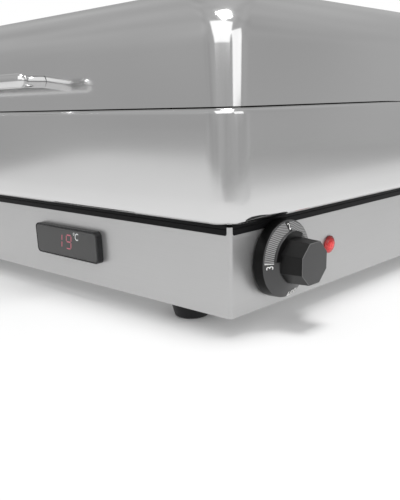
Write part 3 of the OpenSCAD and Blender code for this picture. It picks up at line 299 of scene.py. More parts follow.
print("making the finishes")
finish = {
    "brushed_steel": satinSteel("brushed steel", 0.53, 0.33, (5.0, 5.0, 1500.0), 0.72),
    "polished_steel": polishedSteel("polished steel", 0.7, 0.08),
    "sheet_steel": satinSteel("sheet steel", 0.68, 0.42, (900.0, 6.0, 6.0)),
    "pan_steel": satinSteel("pan steel", 0.6, 0.3, (6.0, 700.0, 6.0)),
    "zinc_steel": platedMetal("zinc plate", (0.66, 0.67, 0.68), 0.34),
    "aluminium": satinSteel("aluminium sheet", 0.74, 0.46, (6.0, 500.0, 6.0)),
    "element_sheath": platedMetal("heated sheath", (0.24, 0.22, 0.2), 0.55),
    "brass": platedMetal("brass", (0.72, 0.55, 0.26), 0.35),
    "copper": platedMetal("copper", (0.7, 0.36, 0.22), 0.36),
    "black_strip": mouldedPlastic("black strip", (0.004, 0.004, 0.0045), 0.4, shine=0.1),
    "black_plastic": mouldedPlastic("dial plastic", (0.046, 0.046, 0.047), 0.42, 0.00008),
    "bezel_plastic": mouldedPlastic("gloss bezel", (0.008, 0.008, 0.009), 0.2, 0.00002, 0.45),
    "grey_print": printedInk("pale print", (0.3, 0.3, 0.3)),
    "red_lens": redLens("red lens", middleOf("lamp_lens")),
    "smoked_window": smokedWindow("smoked window"),
    "white_plastic": mouldedPlastic("white plastic", (0.8, 0.8, 0.76), 0.4),
    "circuit_board": circuitBoard("circuit board"),
    "led_digits": mouldedPlastic("figure block", (0.03, 0.03, 0.032), 0.5),
    "ceramic": mouldedPlastic("plain ceramic", (0.78, 0.74, 0.66), 0.6, 0.0001),
    "mineral_wool": pressedWool("mineral wool"),
    "rubber": softRubber("black rubber", (0.006, 0.006, 0.007)),
    "brown_sleeve": softRubber("brown sleeve", (0.17, 0.07, 0.035), 0.5),
    "white_sleeve": softRubber("pale sleeve", (0.66, 0.65, 0.6), 0.7),
    "grey_sleeve": softRubber("grey sleeve", (0.2, 0.2, 0.22), 0.5),
}
for node, slotName in slots.items():
    shown = nodes[node].data
    shown.materials.clear()
    shown.materials.append(finish[slotName])


# Shared steps of modelling: sharp is the least angle, in degrees, of an edge that shows as one
def settle(name, shape, body, slotName, replaced=(), material=None, sharp=32.0, even=False):
    mesh = bpy.data.meshes.new(name)
    shape.to_mesh(mesh)
    shape.free()
    mesh.materials.append(material or finish[slotName])
    for face in mesh.polygons:
        face.use_smooth = True
    mesh.set_sharp_from_angle(angle=radians(sharp))
    piece = bpy.data.objects.new(name, mesh)
    bpy.context.scene.collection.objects.link(piece)
    if even:
        piece.modifiers.new("even shading", "WEIGHTED_NORMAL").keep_sharp = True
    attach(piece, body)
    if replaced:
        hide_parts(*replaced)
    return piece


def facing(right, up, origin):
    outward = Vector(right).cross(Vector(up))
    return Matrix.Translation(origin) @ Matrix((right, up, outward)).transposed().to_4x4()


def sideWall(middle):
    return facing((0, 1, 0), (0, 0, 1), (baseHigh.x, middle.y, middle.z))


def frontWall(middle):
    return facing((1, 0, 0), (0, 0, 1), (middle.x, baseLow.y, middle.z))


def raisedBy(height):
    return Matrix.Translation((0, 0, height * mm))


def movedBy(shape, matrix):
    bmesh.ops.transform(shape, matrix=matrix, verts=shape.verts)


def joined(shape, other):
    mesh = bpy.data.meshes.new("joined")
    other.to_mesh(mesh)
    other.free()
    shape.from_mesh(mesh)
    bpy.data.meshes.remove(mesh)


def crispEdges(shape, least):
    return [edge for edge in shape.edges if edge.calc_face_angle(0) > radians(least)]


def broken(shape, edges, width, segments=2):
    bmesh.ops.bevel(shape, geom=edges, offset=width * mm, offset_type="OFFSET", segments=segments,
                    profile=0.5, affect="EDGES", clamp_overlap=True, material=-1)


# Gives a flat shape a height, and returns the points of its top
def thickened(shape, height):
    made = bmesh.ops.extrude_face_region(shape, geom=list(shape.faces))
    points = [item for item in made["geom"] if isinstance(item, bmesh.types.BMVert)]
    bmesh.ops.translate(shape, verts=points, vec=(0, 0, height * mm))
    return points


def sweep(start, end, count):
    return [radians(start + (end - start) * step / count) for step in range(count + 1)]


def roundedCorner(centreRadius, centreHeight, radius, start, end, count):
    return [(centreRadius + radius * cos(angle), centreHeight + radius * sin(angle))
            for angle in sweep(start, end, count)]


# A turned piece: its outline is (radius, height) pairs in mm about the local z axis
def turned(outline, steps=64):
    shape = bmesh.new()
    line = [shape.verts.new((radius * mm, 0, height * mm)) for radius, height in outline]
    edges = [shape.edges.new(pair) for pair in zip(line, line[1:])]
    bmesh.ops.spin(shape, geom=line + edges, cent=(0, 0, 0), axis=(0, 0, 1), angle=2 * pi,
                   steps=steps, use_merge=True)
    bmesh.ops.remove_doubles(shape, verts=shape.verts, dist=1e-6)
    bmesh.ops.recalc_face_normals(shape, faces=shape.faces)
    return shape


# A copy of a carried-over piece with its crisp edges broken
def eased(name, node, width, body):
    shape = bmesh.new()
    shape.from_mesh(nodes[node].data)
    bmesh.ops.remove_doubles(shape, verts=shape.verts, dist=1e-6)
    bmesh.ops.dissolve_limit(shape, angle_limit=radians(1), verts=shape.verts, edges=shape.edges)
    broken(shape, crispEdges(shape, 35), width)
    settle(name, shape, body, slots[node], (node,), even=True)


# Half a node's sizes, its lowest and highest level in mm, and its middle on the floor
def measured(node):
    low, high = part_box(node)
    half = [(top - bottom) / 2 / mm for bottom, top in zip(low, high)]
    return half, low.z / mm, high.z / mm, Vector(((low.x + high.x) / 2, (low.y + high.y) / 2, 0))


# A ring of a drawn shell is (half width, half depth, height, corner radius) in mm
def ringIn(half, inset, height, corner):
    return (half[0] - inset, half[1] - inset, height, corner)


# Insets and heights round a bend, each with what the bend adds to the corner radius there
def bendIn(inset, height, radius, start, end, count):
    return [(inset - radius * cos(angle), height + radius * sin(angle), radius * cos(angle))
            for angle in sweep(start, end, count)]


# Draws a shell up from its first ring, ring by ring, and closes the last one
def lofted(rings, centre, cornerSteps=14):
    shape = bmesh.new()
    size = Matrix.Diagonal((*rings[0][:2], 1, 1))
    made = bmesh.ops.create_grid(shape, x_segments=1, y_segments=1, size=1, matrix=size)
    bmesh.ops.bevel(shape, geom=made["verts"], offset=rings[0][3], offset_type="OFFSET",
                    segments=cornerSteps, profile=0.5, affect="VERTICES", clamp_overlap=True, material=-1)
    loop, points = list(shape.edges), list(shape.verts)
    for last, ring in zip(rings[:1] + rings, rings):
        if ring is not rings[0]:
            made = bmesh.ops.extrude_edge_only(shape, edges=loop)
            points = [item for item in made["geom"] if isinstance(item, bmesh.types.BMVert)]
            loop = [item for item in made["geom"]
                    if isinstance(item, bmesh.types.BMEdge) and all(vert in points for vert in item.verts)]
        for vert in points:
            for axis in (0, 1):  # each corner keeps its bend as a share of its radius
                side = copysign(1, vert.co[axis])
                share = (vert.co[axis] - side * (last[axis] - last[3])) / last[3]
                vert.co[axis] = side * (ring[axis] - ring[3]) + share * ring[3]
            vert.co.z = ring[2]
    bmesh.ops.contextual_create(shape, geom=loop)
    movedBy(shape, Matrix.Translation(centre) @ Matrix.Scale(mm, 4))
    bmesh.ops.recalc_face_normals(shape, faces=shape.faces)
    return shape


# Water vessel: curled bottom edge, leaning wall, deck and the sunk seat of the pan
vessel = {
    "curl": 7.5, "corner": 23.0, "lean": 0.026, "topEdge": 4.0, "sheet": 1.0, "wallSteps": 6,
    "seatDown": 4.0, "seatGap": 1.2, "brim": 0.8, "ledge": 8.5, "panCorner": 25.0,
}


def makeVessel():
    half, bottom, deck, centre = measured("vessel")
    panHalf = measured("food_pan")[0]
    curl, edge, sheet = vessel["curl"], vessel["topEdge"], vessel["sheet"]
    topInset = vessel["lean"] * (deck - edge - bottom - curl)

    def wall(skin):
        rings = [ringIn(half, inset, height, vessel["corner"] - curl + more)
                 for inset, height, more in bendIn(curl, bottom + curl, curl - skin, -90, 0, 12)]
        for step in range(1, vessel["wallSteps"]):
            share = step / vessel["wallSteps"]
            height = (bottom + curl) * (1 - share) + (deck - edge) * share
            rings.append(ringIn(half, skin + topInset * share, height, vessel["corner"] - skin))
        rings += [ringIn(half, inset, height, vessel["corner"] - edge + more)
                  for inset, height, more in bendIn(topInset + edge, deck - edge, edge - skin, 0, 90, 8)]
        return rings

    def seat(reach, height):
        return ringIn(panHalf, -reach, height, vessel["panCorner"] + reach)

    gap, ledge, brim = vessel["seatGap"], vessel["ledge"], vessel["brim"]
    floor = deck - vessel["seatDown"]
    seatRings = [
        seat(gap + brim, deck), seat(gap + brim / 4, deck - brim / 4), seat(gap, deck - brim),
        seat(gap, floor), seat(-ledge, floor), seat(-ledge, floor - sheet),
        seat(gap + sheet, floor - sheet), seat(gap + sheet, deck - sheet),
    ]
    shape = lofted(wall(0) + seatRings + wall(sheet)[::-1], centre)
    settle("waterVessel", shape, "base", "polished_steel", ("vessel",))


# Lift-out food pan, with a flat flange and rounded corners at its floor
pan = {
    "flange": 12.0, "flangeEdge": 0.4, "bend": 1.5, "corner": 25.0, "bodyCorner": 32.0,
    "floorRadius": 12.0, "taper": 6.4, "sheet": 1.0,
}


def makePan():
    half, floor, top, centre = measured("food_pan")
    flange, edge, sheet = pan["flange"], pan["flangeEdge"], pan["sheet"]
    corner, bodyCorner = pan["corner"], pan["bodyCorner"]
    lip = top - sheet

    def skin(inset, level):
        radius = pan["floorRadius"] - inset
        middle = flange + pan["taper"] + pan["floorRadius"]
        return [ringIn(half, edge, height, bodyCorner - pan["floorRadius"] + more)
                for edge, height, more in bendIn(middle, level + radius, radius, -90, 0, 10)]

    rim = [
        ringIn(half, flange, lip, bodyCorner), ringIn(half, edge, lip, corner),
        ringIn(half, 0, lip + sheet / 2, corner), ringIn(half, edge, lip + sheet, corner),
        ringIn(half, flange - pan["bend"], lip + sheet, bodyCorner),
        ringIn(half, flange + sheet * 0.2, lip + sheet * 0.6, bodyCorner - sheet),
        ringIn(half, flange + sheet, lip - sheet, bodyCorner - sheet * 1.2),
    ]
    shape = lofted(skin(0, floor) + rim + skin(sheet, floor + sheet)[::-1], centre)
    settle("foodPan", shape, "pan", "pan_steel", ("food_pan",))


# Dome lid: leaning wall, broad shoulder and a slight crown; its corner grows with the inset
lid = {
    "corner": 20.0, "growth": 1.1, "most": 0.9, "lean": 0.052, "wall": 40.0, "shoulder": 42.0,
    "crown": 4.0, "crownReach": 0.95, "sheet": 1.0, "wallSteps": 4, "bendSteps": 16, "crownSteps": 9,
}


def makeLid():
    half, rim, top, centre = measured("lid")
    spring = rim + lid["wall"]
    foot = lid["lean"] * lid["wall"]
    topInset = foot + lid["shoulder"]

    def ring(inset, height, skin):
        corner = min(lid["corner"] + lid["growth"] * (inset - skin), lid["most"] * (half[1] - inset))
        return ringIn(half, inset, height, corner - skin)

    def side(skin):
        radius = lid["shoulder"] - skin
        rings = []
        for step in range(lid["wallSteps"]):
            share = step / lid["wallSteps"]
            rings.append(ring(skin + foot * share, rim + lid["wall"] * share, skin))
        rings += [ring(inset, height, skin)
                  for inset, height, more in bendIn(topInset, spring, radius, 0, 90, lid["bendSteps"])]
        for step in range(1, lid["crownSteps"]):
            share = step / lid["crownSteps"] * lid["crownReach"]
            rise = lid["crown"] * share * (2 - share)
            rings.append(ring(topInset + share * (half[1] - topInset), spring + radius + rise, skin))
        return rings

    shape = lofted(side(lid["sheet"])[::-1] + side(0), centre)
    settle("domeLid", shape, "lid", "polished_steel", ("lid",))


print("drawing the vessel, pan and lid")
makeVessel()
makePan()
makeLid()


# Dial: skirt with a sloping face and an eight-sided grip, in mm; angles are in degrees, as they are
# seen from outside, 0 towards the rear and 90 up
dial = {
    "radius": 30.2, "backRadius": 30.6, "backFlats": (0, 24.0, 29.4), "backEdge": 1.3, "gap": 1.0,
    "face": 10.5, "faceEdge": 0.9, "slope": 6.4, "turn": (0.3, 0.4),
    "sides": 8, "gripFront": 17.3, "gripBack": 18.4, "gripSink": 1.0, "gripEdge": 0.4, "reach": 36.2,
    "band": (22.4, 29.1), "bandAngles": ((27, 88.5), (98.5, 178)), "patchAngles": (89, 98), "ink": 0.15,
}
# Raised collar round the grip
collar = {"inner": 15.4, "outer": 22.2, "rise": 0.4, "sink": 4.8, "angles": (60, 175), "edge": 0.3}
# Where each colour of the dial starts: by the way a face looks, and by its place; the near-black side and
# flanks partly hold painted shade, and the pale front edges of the grip are a painted highlight
dialPaint = {
    "sideways": 0.5, "forward": 0.98, "frontDepth": 1.0, "flankLift": 1.0, "clear": 0.05, "gripShare": 0.93,
}
# White marks: figures are (text, angle, radius, size), ticks are (start, end, inner, outer)
marks = {
    "height": 0.22, "depth": 0.1,
    "figures": (("3", 184.4, 25.4, 7.2), ("2", 92.6, 26.6, 5.8)),
    "ticks": ((177.2, 178.4, 22.4, 29.1), (92.6, 95, 23.4, 24.4),
              (268.6, 271.4, 25.8, 29.8), (271.4, 274.6, 28.3, 29.8), (275.2, 278.2, 25.6, 29.7),
              (279.6, 283.4, 25.8, 27.5), (279.8, 282.6, 28.1, 29.6), (284.8, 287.8, 25.4, 29.4),
              (289.2, 292.8, 26.4, 28.5)),
}
dialMiddle = middleOf("knob")


# Height of the dial's sloping face at a radius
def slopeHeight(radius):
    share = (dial["radius"] - radius) / (dial["radius"] - dial["gripBack"])
    return dial["face"] + dial["slope"] * min(share, 1.0)


# Lays a flat drawing about the dial's axis on the sloping face, and settles it there
def settleOnSlope(name, shape, material, replaced=()):
    for vert in shape.verts:
        vert.co.z += slopeHeight(vert.co.xy.length / mm) * mm
    movedBy(shape, sideWall(dialMiddle))
    settle(name, shape, "knob", "grey_print", replaced, material)


# Part of a flat ring between two angles, with a height
def ringPart(inner, outer, height, start, end, steps=40):
    shape = bmesh.new()
    line = [shape.verts.new((radius * mm, 0, 0)) for radius in (inner, outer)]
    edge = shape.edges.new(line)
    bmesh.ops.rotate(shape, verts=line, cent=(0, 0, 0), matrix=Matrix.Rotation(radians(start), 3, "Z"))
    bmesh.ops.spin(shape, geom=line + [edge], cent=(0, 0, 0), axis=(0, 0, 1), angle=radians(end - start),
                   steps=steps)
    thickened(shape, height)
    bmesh.ops.recalc_face_normals(shape, faces=shape.faces)
    return shape


def makeSkirt():
    backEdge, edge, gripBack = dial["backEdge"], dial["faceEdge"], dial["gripBack"]
    lean = atan2(dial["slope"], dial["radius"] - gripBack)
    faceHeight = dial["face"] - edge * (1 - sin(lean)) / cos(lean)
    outside, inside = dial["turn"]
    outline = [(radius, dial["gap"]) for radius in dial["backFlats"]]
    outline += roundedCorner(dial["backRadius"] - backEdge, dial["gap"] + backEdge, backEdge, -80, 0, 8)
    outline += roundedCorner(dial["radius"] - edge, faceHeight, edge, 0, 90 - degrees(lean), 8)
    outline += [(gripBack + outside, slopeHeight(gripBack + outside))]
    outline += [(radius, slopeHeight(gripBack)) for radius in (gripBack - inside, 0)]
    return turned(outline, 128)


def makeGrip(bottom):
    grip = bmesh.new()
    bmesh.ops.create_circle(grip, cap_ends=True, segments=dial["sides"], radius=dial["gripBack"] * mm)
    movedBy(grip, Matrix.Rotation(pi / dial["sides"], 4, "Z"))
    movedBy(grip, raisedBy(bottom))
    front = thickened(grip, dial["reach"] - bottom)
    share = dial["gripFront"] / dial["gripBack"]
    bmesh.ops.scale(grip, verts=front, vec=(share, share, 1))
    bmesh.ops.recalc_face_normals(grip, faces=grip.faces)
    broken(grip, grip.edges, dial["gripEdge"], 4)
    return grip


def makeCollar(top):
    height = collar["sink"] + collar["rise"]
    shape = ringPart(collar["inner"], collar["outer"], height, *collar["angles"])
    broken(shape, crispEdges(shape, 50), collar["edge"])
    movedBy(shape, raisedBy(top - collar["sink"]))
    return shape


def makeDial():
    top = dial["face"] + dial["slope"]
    shape = makeSkirt()
    joined(shape, makeGrip(top - dial["gripSink"]))
    joined(shape, makeCollar(top))
    movedBy(shape, sideWall(dialMiddle))
    body = settle("dialBody", shape, "knob", "black_plastic", ("knob",), sharp=13.0, even=True)
    # dial side and dial flanks are near-black copies of the dial plastic: on the grip's sides the dark is
    # painted shade, on the skirt's side it is partly painted shade, and the collar's black is its own
    # colour
    body.data.materials.append(mouldedPlastic("dial side", grey(0.002), 0.3, 0.00002, 0.2))
    body.data.materials.append(mouldedPlastic("dial flanks", grey(0.004), 0.34, shine=0.22))
    # a pale copy of the dial plastic on the bevels round the grip's front: a painted highlight
    body.data.materials.append(mouldedPlastic("dial edge highlight", grey(0.13), 0.35))
    plain, side, flank, edgeHighlight = range(4)
    gripRadius, flankStart = dial["gripBack"] * dialPaint["gripShare"], top + dialPaint["flankLift"]
    for face in body.data.polygons:
        level = (face.center.x - baseHigh.x) / mm
        radius = (face.center - dialMiddle).yz.length / mm
        aboveSlope = level > slopeHeight(radius) + dialPaint["clear"]
        # the skirt's side, partly painted shade
        if level < dial["face"] and face.normal.x < dialPaint["sideways"]:
            face.material_index = side
        # the grip's front face keeps the plain plastic, and the bevels round it get the painted highlight
        elif level > dial["reach"] - dialPaint["frontDepth"]:
            face.material_index = plain if face.normal.x > dialPaint["forward"] else edgeHighlight
        # the grip's flanks, dark with painted shade, and the collar in its own black
        elif level > flankStart or (aboveSlope and radius > gripRadius):
            face.material_index = flank


def makeDialPrint():
    bands = bmesh.new()
    for angles in dial["bandAngles"]:
        joined(bands, ringPart(*dial["band"], dial["ink"], *angles, 60))
    settleOnSlope("dialBands", bands, sweptLines("dial lines", dialMiddle), ("knob_scale",))
    patch = ringPart(*dial["band"], dial["ink"], *dial["patchAngles"], 8)
    settleOnSlope("dialPatch", patch, mouldedPlastic("dark print", grey(0.008), 0.35))


def figureMesh(text, size, thickness):
    curve = bpy.data.curves.new("figure", "FONT")
    curve.body = text
    curve.size = size * mm
    curve.align_x = "CENTER"
    curve.align_y = "CENTER"
    curve.extrude = thickness * mm / 2
    made = bpy.data.objects.new("figure", curve)
    bpy.context.scene.collection.objects.link(made)
    mesh = made.to_mesh().copy()
    shape = bmesh.new()
    shape.from_mesh(mesh)
    bpy.data.objects.remove(made)
    bpy.data.curves.remove(curve)
    bpy.data.meshes.remove(mesh)
    middle = sum((vert.co for vert in shape.verts), Vector()) / len(shape.verts)
    bmesh.ops.translate(shape, verts=shape.verts, vec=(-middle.x, -middle.y, 0))
    return shape


# Figures stand with their tops outwards
def makeDialMarks():
    shape = bmesh.new()
    for text, angle, radius, size in marks["figures"]:
        figure = figureMesh(text, size, marks["depth"])
        outward = Matrix.Translation((0, radius * mm, 0))
        movedBy(figure, Matrix.Rotation(radians(angle - 90), 4, "Z") @ outward)
        joined(shape, figure)
    for start, end, inner, outer in marks["ticks"]:
        joined(shape, ringPart(inner, outer, marks["depth"], start, end, 2))
    movedBy(shape, raisedBy(marks["height"]))
    settleOnSlope("dialMarks", shape, printedInk("white ink", (0.92, 0.92, 0.91)))


print("turning the dial")
makeDial()
makeDialPrint()
makeDialMarks()


# Pilot lamp: a red lens with a rim, a dome and a neck in the wall
lamp = {
    "radius": 7.5, "rim": 1.5, "edge": 0.3, "backEdge": 0.4, "ledge": 0.9, "step": 0.1,
    "dome": 4.2, "domeInset": 1.1, "domeStart": 4, "neck": 4.6, "neckDepth": 2.9, "gap": 0.02,
}


def makeLamp():
    radius, rim, edge, neck = lamp["radius"], lamp["rim"], lamp["edge"], lamp["neck"]
    spring = rim + lamp["step"]
    outline = [(0, -lamp["neckDepth"]), (neck, -lamp["neckDepth"]), (neck, lamp["gap"])]
    outline += [(radius - edge, lamp["gap"]), (radius, lamp["backEdge"])]
    outline += [(radius, rim - edge), (radius - edge, rim), (radius - lamp["ledge"], spring)]
    outline += [((radius - lamp["domeInset"]) * cos(angle), spring + (lamp["dome"] - spring) * sin(angle))
                for angle in sweep(lamp["domeStart"], 90, 12)]
    shape = turned(outline, 48)
    movedBy(shape, sideWall(middleOf("lamp_lens")))
    settle("lampLens", shape, "base", "red_lens", ("lamp_lens",), sharp=40.0)


# Display housing and its window, with rounded corners; the window lies a little behind the rim
bezel = {
    "corner": 4.6, "round": 0.9, "rim": 0.3, "rimDrop": 0.2, "recess": 0.7, "bed": 1.0, "gap": 0.02,
    "windowPlay": 0.15, "windowEdge": 0.25, "windowLift": 0.05,
}


# Makes both, and returns the level of the window's face
def makeBezel():
    low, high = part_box("display_housing")
    half = ((high.x - low.x) / 2 / mm, (high.z - low.z) / 2 / mm)
    wall = frontWall((low + high) / 2)
    reach = (baseLow.y - low.y) / mm
    bend, inner = bezel["round"], bezel["round"] + bezel["rim"]
    corner = bezel["corner"] - bend - bezel["rim"] / 2
    bed = reach - bezel["recess"] - bezel["bed"]
    rings = [ringIn(half, 0, bezel["gap"], bezel["corner"])]
    rings += [ringIn(half, inset, height, bezel["corner"] - bend + more)
              for inset, height, more in bendIn(bend, reach - bend, bend, 0, 90, 6)]
    rings += [ringIn(half, bend + bezel["rim"] * 0.6, reach, corner)]
    rings += [ringIn(half, inner, reach - bezel["rimDrop"], corner), ringIn(half, inner, bed, corner)]
    shape = lofted(rings, Vector())
    movedBy(shape, wall)
    settle("displayBezel", shape, "base", "bezel_plastic", ("display_housing",))
    inset, edge, front = inner + bezel["windowPlay"], bezel["windowEdge"], reach - bezel["recess"] / 3
    window = lofted([
        ringIn(half, inset, bed + bezel["windowLift"], corner), ringIn(half, inset, front - edge, corner),
        ringIn(half, inset + edge, front, corner - edge),
    ], Vector())
    movedBy(window, wall)
    settle("displayGlass", window, "base", "smoked_window", ("display_window",))
    return front


# Display: slanted figures of seven bars and a degree mark, which show at the window's face
display = {
    "barLength": 6.3, "barWidth": 7.2, "bar": 1.1, "barEdge": 0.1, "gap": 0.3, "depth": 0.25, "sunk": 0.1,
    "slant": 0.158, "firstX": -8.7, "secondX": 5.25, "up": 1.2,
    "markX": 16.2, "markUp": 8.3, "markSize": 9.4, "markWidth": 0.82,
}
# Each bar's place is (across, up, upright), in halves of a figure's width and height
barPlaces = {
    "top": (0, 1, False), "upperRight": (1, 0.5, True), "lowerRight": (1, -0.5, True),
    "bottom": (0, -1, False), "upperLeft": (-1, 0.5, True), "middle": (0, 0, False),
}
shownBars = (
    ("upperRight", "lowerRight"),
    ("top", "upperRight", "lowerRight", "bottom", "upperLeft", "middle"),
)


def makeDisplayFigures(front):
    bars = bmesh.new()
    bar, depth = display["bar"], display["depth"]
    for places, centre in zip(shownBars, (display["firstX"], display["secondX"])):
        for name in places:
            x, y, upright = barPlaces[name]
            length = (display["barLength"] if upright else display["barWidth"]) - bar - display["gap"]
            width, height = (bar, length) if upright else (length, bar)
            across, up = centre + x * display["barWidth"] / 2, y * display["barLength"]
            spot = Matrix.Translation((across * mm, up * mm, 0))
            box = Matrix.Diagonal((width * mm, height * mm, depth * mm, 1))
            bmesh.ops.create_cube(bars, size=1.0, matrix=spot @ box)
    broken(bars, bars.edges, display["barEdge"])
    slant = Matrix.Identity(4)
    slant[0][1] = display["slant"]
    wall = frontWall(middleOf("display_window"))
    back = (front - display["sunk"]) * mm
    movedBy(bars, wall @ Matrix.Translation((0, display["up"] * mm, back)) @ slant)
    red = litFigure("lit figures", (1.0, 0.3, 0.37), 0.36)
    settle("displayFigures", bars, "base", "led_digits", material=red)
    mark = figureMesh("°C", display["markSize"], depth)
    bmesh.ops.scale(mark, verts=mark.verts, vec=(display["markWidth"], 1, 1))
    movedBy(mark, wall @ Matrix.Translation((display["markX"] * mm, display["markUp"] * mm, back)) @ slant)
    white = litFigure("lit mark", (0.92, 0.94, 0.94), 0.6)
    settle("displayMark", mark, "base", "led_digits", material=white)


print("setting the lamp and the display")
makeLamp()
makeDisplayFigures(makeBezel())


# Feet: turned rubber cones with a rounded tread, a sunk screw hole and a wall that leans by the draft
foot = {
    "top": 17.9, "topEdge": (0.5, 0.6), "floor": 14.65, "round": 2.4, "draft": 12, "height": 15.0,
    "bore": 4.5, "boreEdge": 0.4, "web": 3.0, "hole": 2.1,
}


def makeFoot(node):
    top, height, hole, bore = foot["top"], foot["height"], foot["hole"], foot["bore"]
    bend, boreEdge = foot["round"], foot["boreEdge"]
    topEdge, sideEdge = foot["topEdge"]
    outline = [(hole, height), (top - topEdge, height), (top, height - sideEdge)]
    outline += roundedCorner(foot["floor"] - bend, bend, bend, -foot["draft"], -90, 8)
    outline += [(bore + boreEdge, 0), (bore, boreEdge)]
    outline += [(bore, height - foot["web"]), (hole, height - foot["web"]), (hole, height)]
    shape = turned(outline)
    movedBy(shape, Matrix.Translation(measured(node)[3]))
    settle(node.replace("foot_", "rubberFoot_"), shape, "base", "rubber", (node,))


# Handle: a turned bar with domed ends
def makeHandle():
    half = measured("lid_handle")[0]
    radius, straight = half[2], half[0] - half[2]
    outline = roundedCorner(0, -straight, radius, -90, 0, 10) + [(radius, 0)]
    outline += roundedCorner(0, straight, radius, 0, 90, 10)
    shape = turned(outline, 48)
    movedBy(shape, Matrix.Translation(middleOf("lid_handle")) @ Matrix.Rotation(pi / 2, 4, "Y"))
    settle("handleBar", shape, "lid", "polished_steel", ("lid_handle",))


print("turning the feet and the handle")
for corner in ("front_right", "front_left", "rear_right", "rear_left"):
    makeFoot("foot_" + corner)
makeHandle()

print("easing the edges of folded and moulded pieces")
easedPieces = (  # piece, node, width of the broken edge in mm, body
    ("baseShell", "housing", 0.45, "base"),
    ("edgeStripFront", "strip_front", 0.35, "base"),
    ("edgeStripRight", "strip_right", 0.35, "base"),
    ("edgeStripRear", "strip_rear", 0.35, "base"),
    ("edgeStripLeft", "strip_left", 0.35, "base"),
    ("inletSocket", "power_inlet", 0.35, "base"),
    ("hingeBracketLeft", "hinge_bracket_left", 0.35, "base"),
    ("hingeBracketRight", "hinge_bracket_right", 0.35, "base"),
    ("lidArmLeft", "lid_arm_left", 0.35, "lid"),
    ("lidArmRight", "lid_arm_right", 0.35, "lid"),
    ("hingePins", "hinge_pins", 0.3, "base"),
    ("bracketRivets", "bracket_rivets", 0.4, "base"),
    ("armRivets", "arm_rivets", 0.4, "lid"),
    ("coverScrews", "cover_screws", 0.4, "base"),
    ("handlePosts", "handle_posts", 0.25, "lid"),
)
for name, node, width, body in easedPieces:
    eased(name, node, width, body)


# Floor, room and lamps in metres; each lamp is (x, y, z, size, power) and looks at the aim
studio = {
    "floorSize": 6.0, "floorTone": 0.8, "floorGlow": 0.03, "fade": (0.55, 1.5),
    "rightEdge": (1.1, 1.0), "leftEdge": (-0.66, -0.5), "leftSlope": 0.94, "mirrorShare": 0.68,
    "roomTone": 0.54, "roomLow": 0.46, "smoke": (0.72, 0.56), "smokeScale": 2.6, "aim": (0, 0, 0.08),
    "key": (0.75, -1.0, 1.2, 1.5, 7.0), "fill": (2.0, -0.2, 1.0, 1.2, 4.0),
    "top": (0.3, -0.12, 1.7, 0.5, 16.5),
}


# The floor fades to white far from the dish, and gloss sees white on it between a right and a left edge
def paintFloor():
    paint = Finish("pale floor")
    tone = studio["floorTone"]
    paint.set(Base_Color=paint.colours(paint.noise(3.0, 2.0), grey(tone), grey(tone * 0.99)))
    paint.set(Roughness=0.9, Specular_IOR_Level=0.0)
    seen = paint.rays("Is Camera Ray", "Is Transmission Ray")
    mirrored = paint.rays("Is Glossy Ray")
    away = paint.node("ShaderNodeVectorMath", paint.place, output="Value", settings={"operation": "LENGTH"})
    x, y, z = paint.parts()
    leftward = x - y * studio["leftSlope"]
    bright = paint.spread(x, *studio["rightEdge"]) * paint.spread(leftward, *studio["leftEdge"])
    share = paint.spread(away, *studio["fade"]) * seen + bright * mirrored * studio["mirrorShare"]
    plain = Wire(paint.tree, paint.shader.outputs[0])
    glow = paint.node("ShaderNodeEmission", Strength=seen * studio["floorGlow"])
    lit = paint.node("ShaderNodeAddShader", plain, glow)
    fade = paint.node("ShaderNodeMixShader", share, lit, paint.node("ShaderNodeEmission"))
    join(paint.tree, fade, paint.tree.nodes["Material Output"].inputs["Surface"])
    return paint.material


def makeFloor():
    shape = bmesh.new()
    bmesh.ops.create_grid(shape, x_segments=1, y_segments=1, size=studio["floorSize"] / 2)
    mesh = bpy.data.meshes.new("floor")
    shape.to_mesh(mesh)
    shape.free()
    mesh.materials.append(paintFloor())
    floor = bpy.data.objects.new("floor", mesh)
    bpy.context.scene.collection.objects.link(floor)


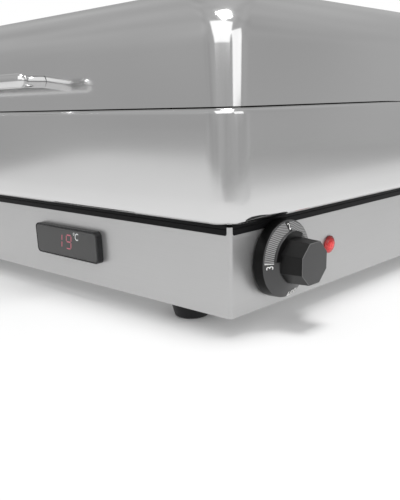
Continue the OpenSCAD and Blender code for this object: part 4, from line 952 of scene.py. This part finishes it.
# A cloudy grey room that the camera itself sees as white
def makeWorld():
    world = bpy.data.worlds.new("studio")
    bpy.context.scene.world = world
    world.use_nodes = True
    room = Shades(world.node_tree, "Generated")
    height = room.parts()[2].maths("ABSOLUTE")
    plain, cloudy = studio["smoke"]
    smoke = plain + cloudy * room.noise(studio["smokeScale"], 1.0)
    tone = (studio["roomLow"] + (studio["roomTone"] - studio["roomLow"]) * height) * smoke
    seen = room.rays("Is Camera Ray")
    back = room.tree.nodes["Background"]
    back.inputs["Color"].default_value = grey(1)
    join(room.tree, tone * (1 - seen) + seen, back.inputs["Strength"])


def makeLight(name, x, y, z, size, power):
    data = bpy.data.lights.new(name, "AREA")
    data.size = size
    data.energy = power
    light = bpy.data.objects.new(name, data)
    light.location = (x, y, z)
    light.rotation_euler = (Vector(studio["aim"]) - light.location).to_track_quat("-Z", "Y").to_euler()
    bpy.context.scene.collection.objects.link(light)


# Camera at the photograph's place, in mm from the foot of the base's front right corner
camera = {
    "place": (300.2, -345.2, 154.0), "turn": 43.89, "tip": 18.55, "roll": -1.62,
    "lens": 46.66, "sensor": 36.0, "shift": 0.14,
}


def makeCamera():
    data = bpy.data.cameras.new("camera")
    data.sensor_fit = "VERTICAL"
    data.sensor_height = camera["sensor"]
    data.lens = camera["lens"]
    data.shift_y = camera["shift"]
    data.clip_start = 0.01
    turn, tip, roll = (radians(camera[name]) for name in ("turn", "tip", "roll"))
    ahead = Vector((-sin(turn) * cos(tip), cos(turn) * cos(tip), -sin(tip)))
    right = Vector((cos(turn), sin(turn), 0))
    up = right.cross(ahead)
    level = right * cos(roll) + up * sin(roll)
    high = up * cos(roll) - right * sin(roll)
    corner = Vector((baseHigh.x, baseLow.y, baseLow.z))
    aimed = Matrix((level, high, -ahead)).transposed().to_4x4()
    eye = bpy.data.objects.new("camera", data)
    eye.matrix_world = Matrix.Translation(corner + Vector(camera["place"]) * mm) @ aimed
    bpy.context.scene.collection.objects.link(eye)
    bpy.context.scene.camera = eye


print("lighting the studio")
makeFloor()
makeWorld()
for name in ("key", "fill", "top"):
    makeLight(name, *studio[name])
makeCamera()
bpy.context.scene.view_settings.view_transform = "Standard"
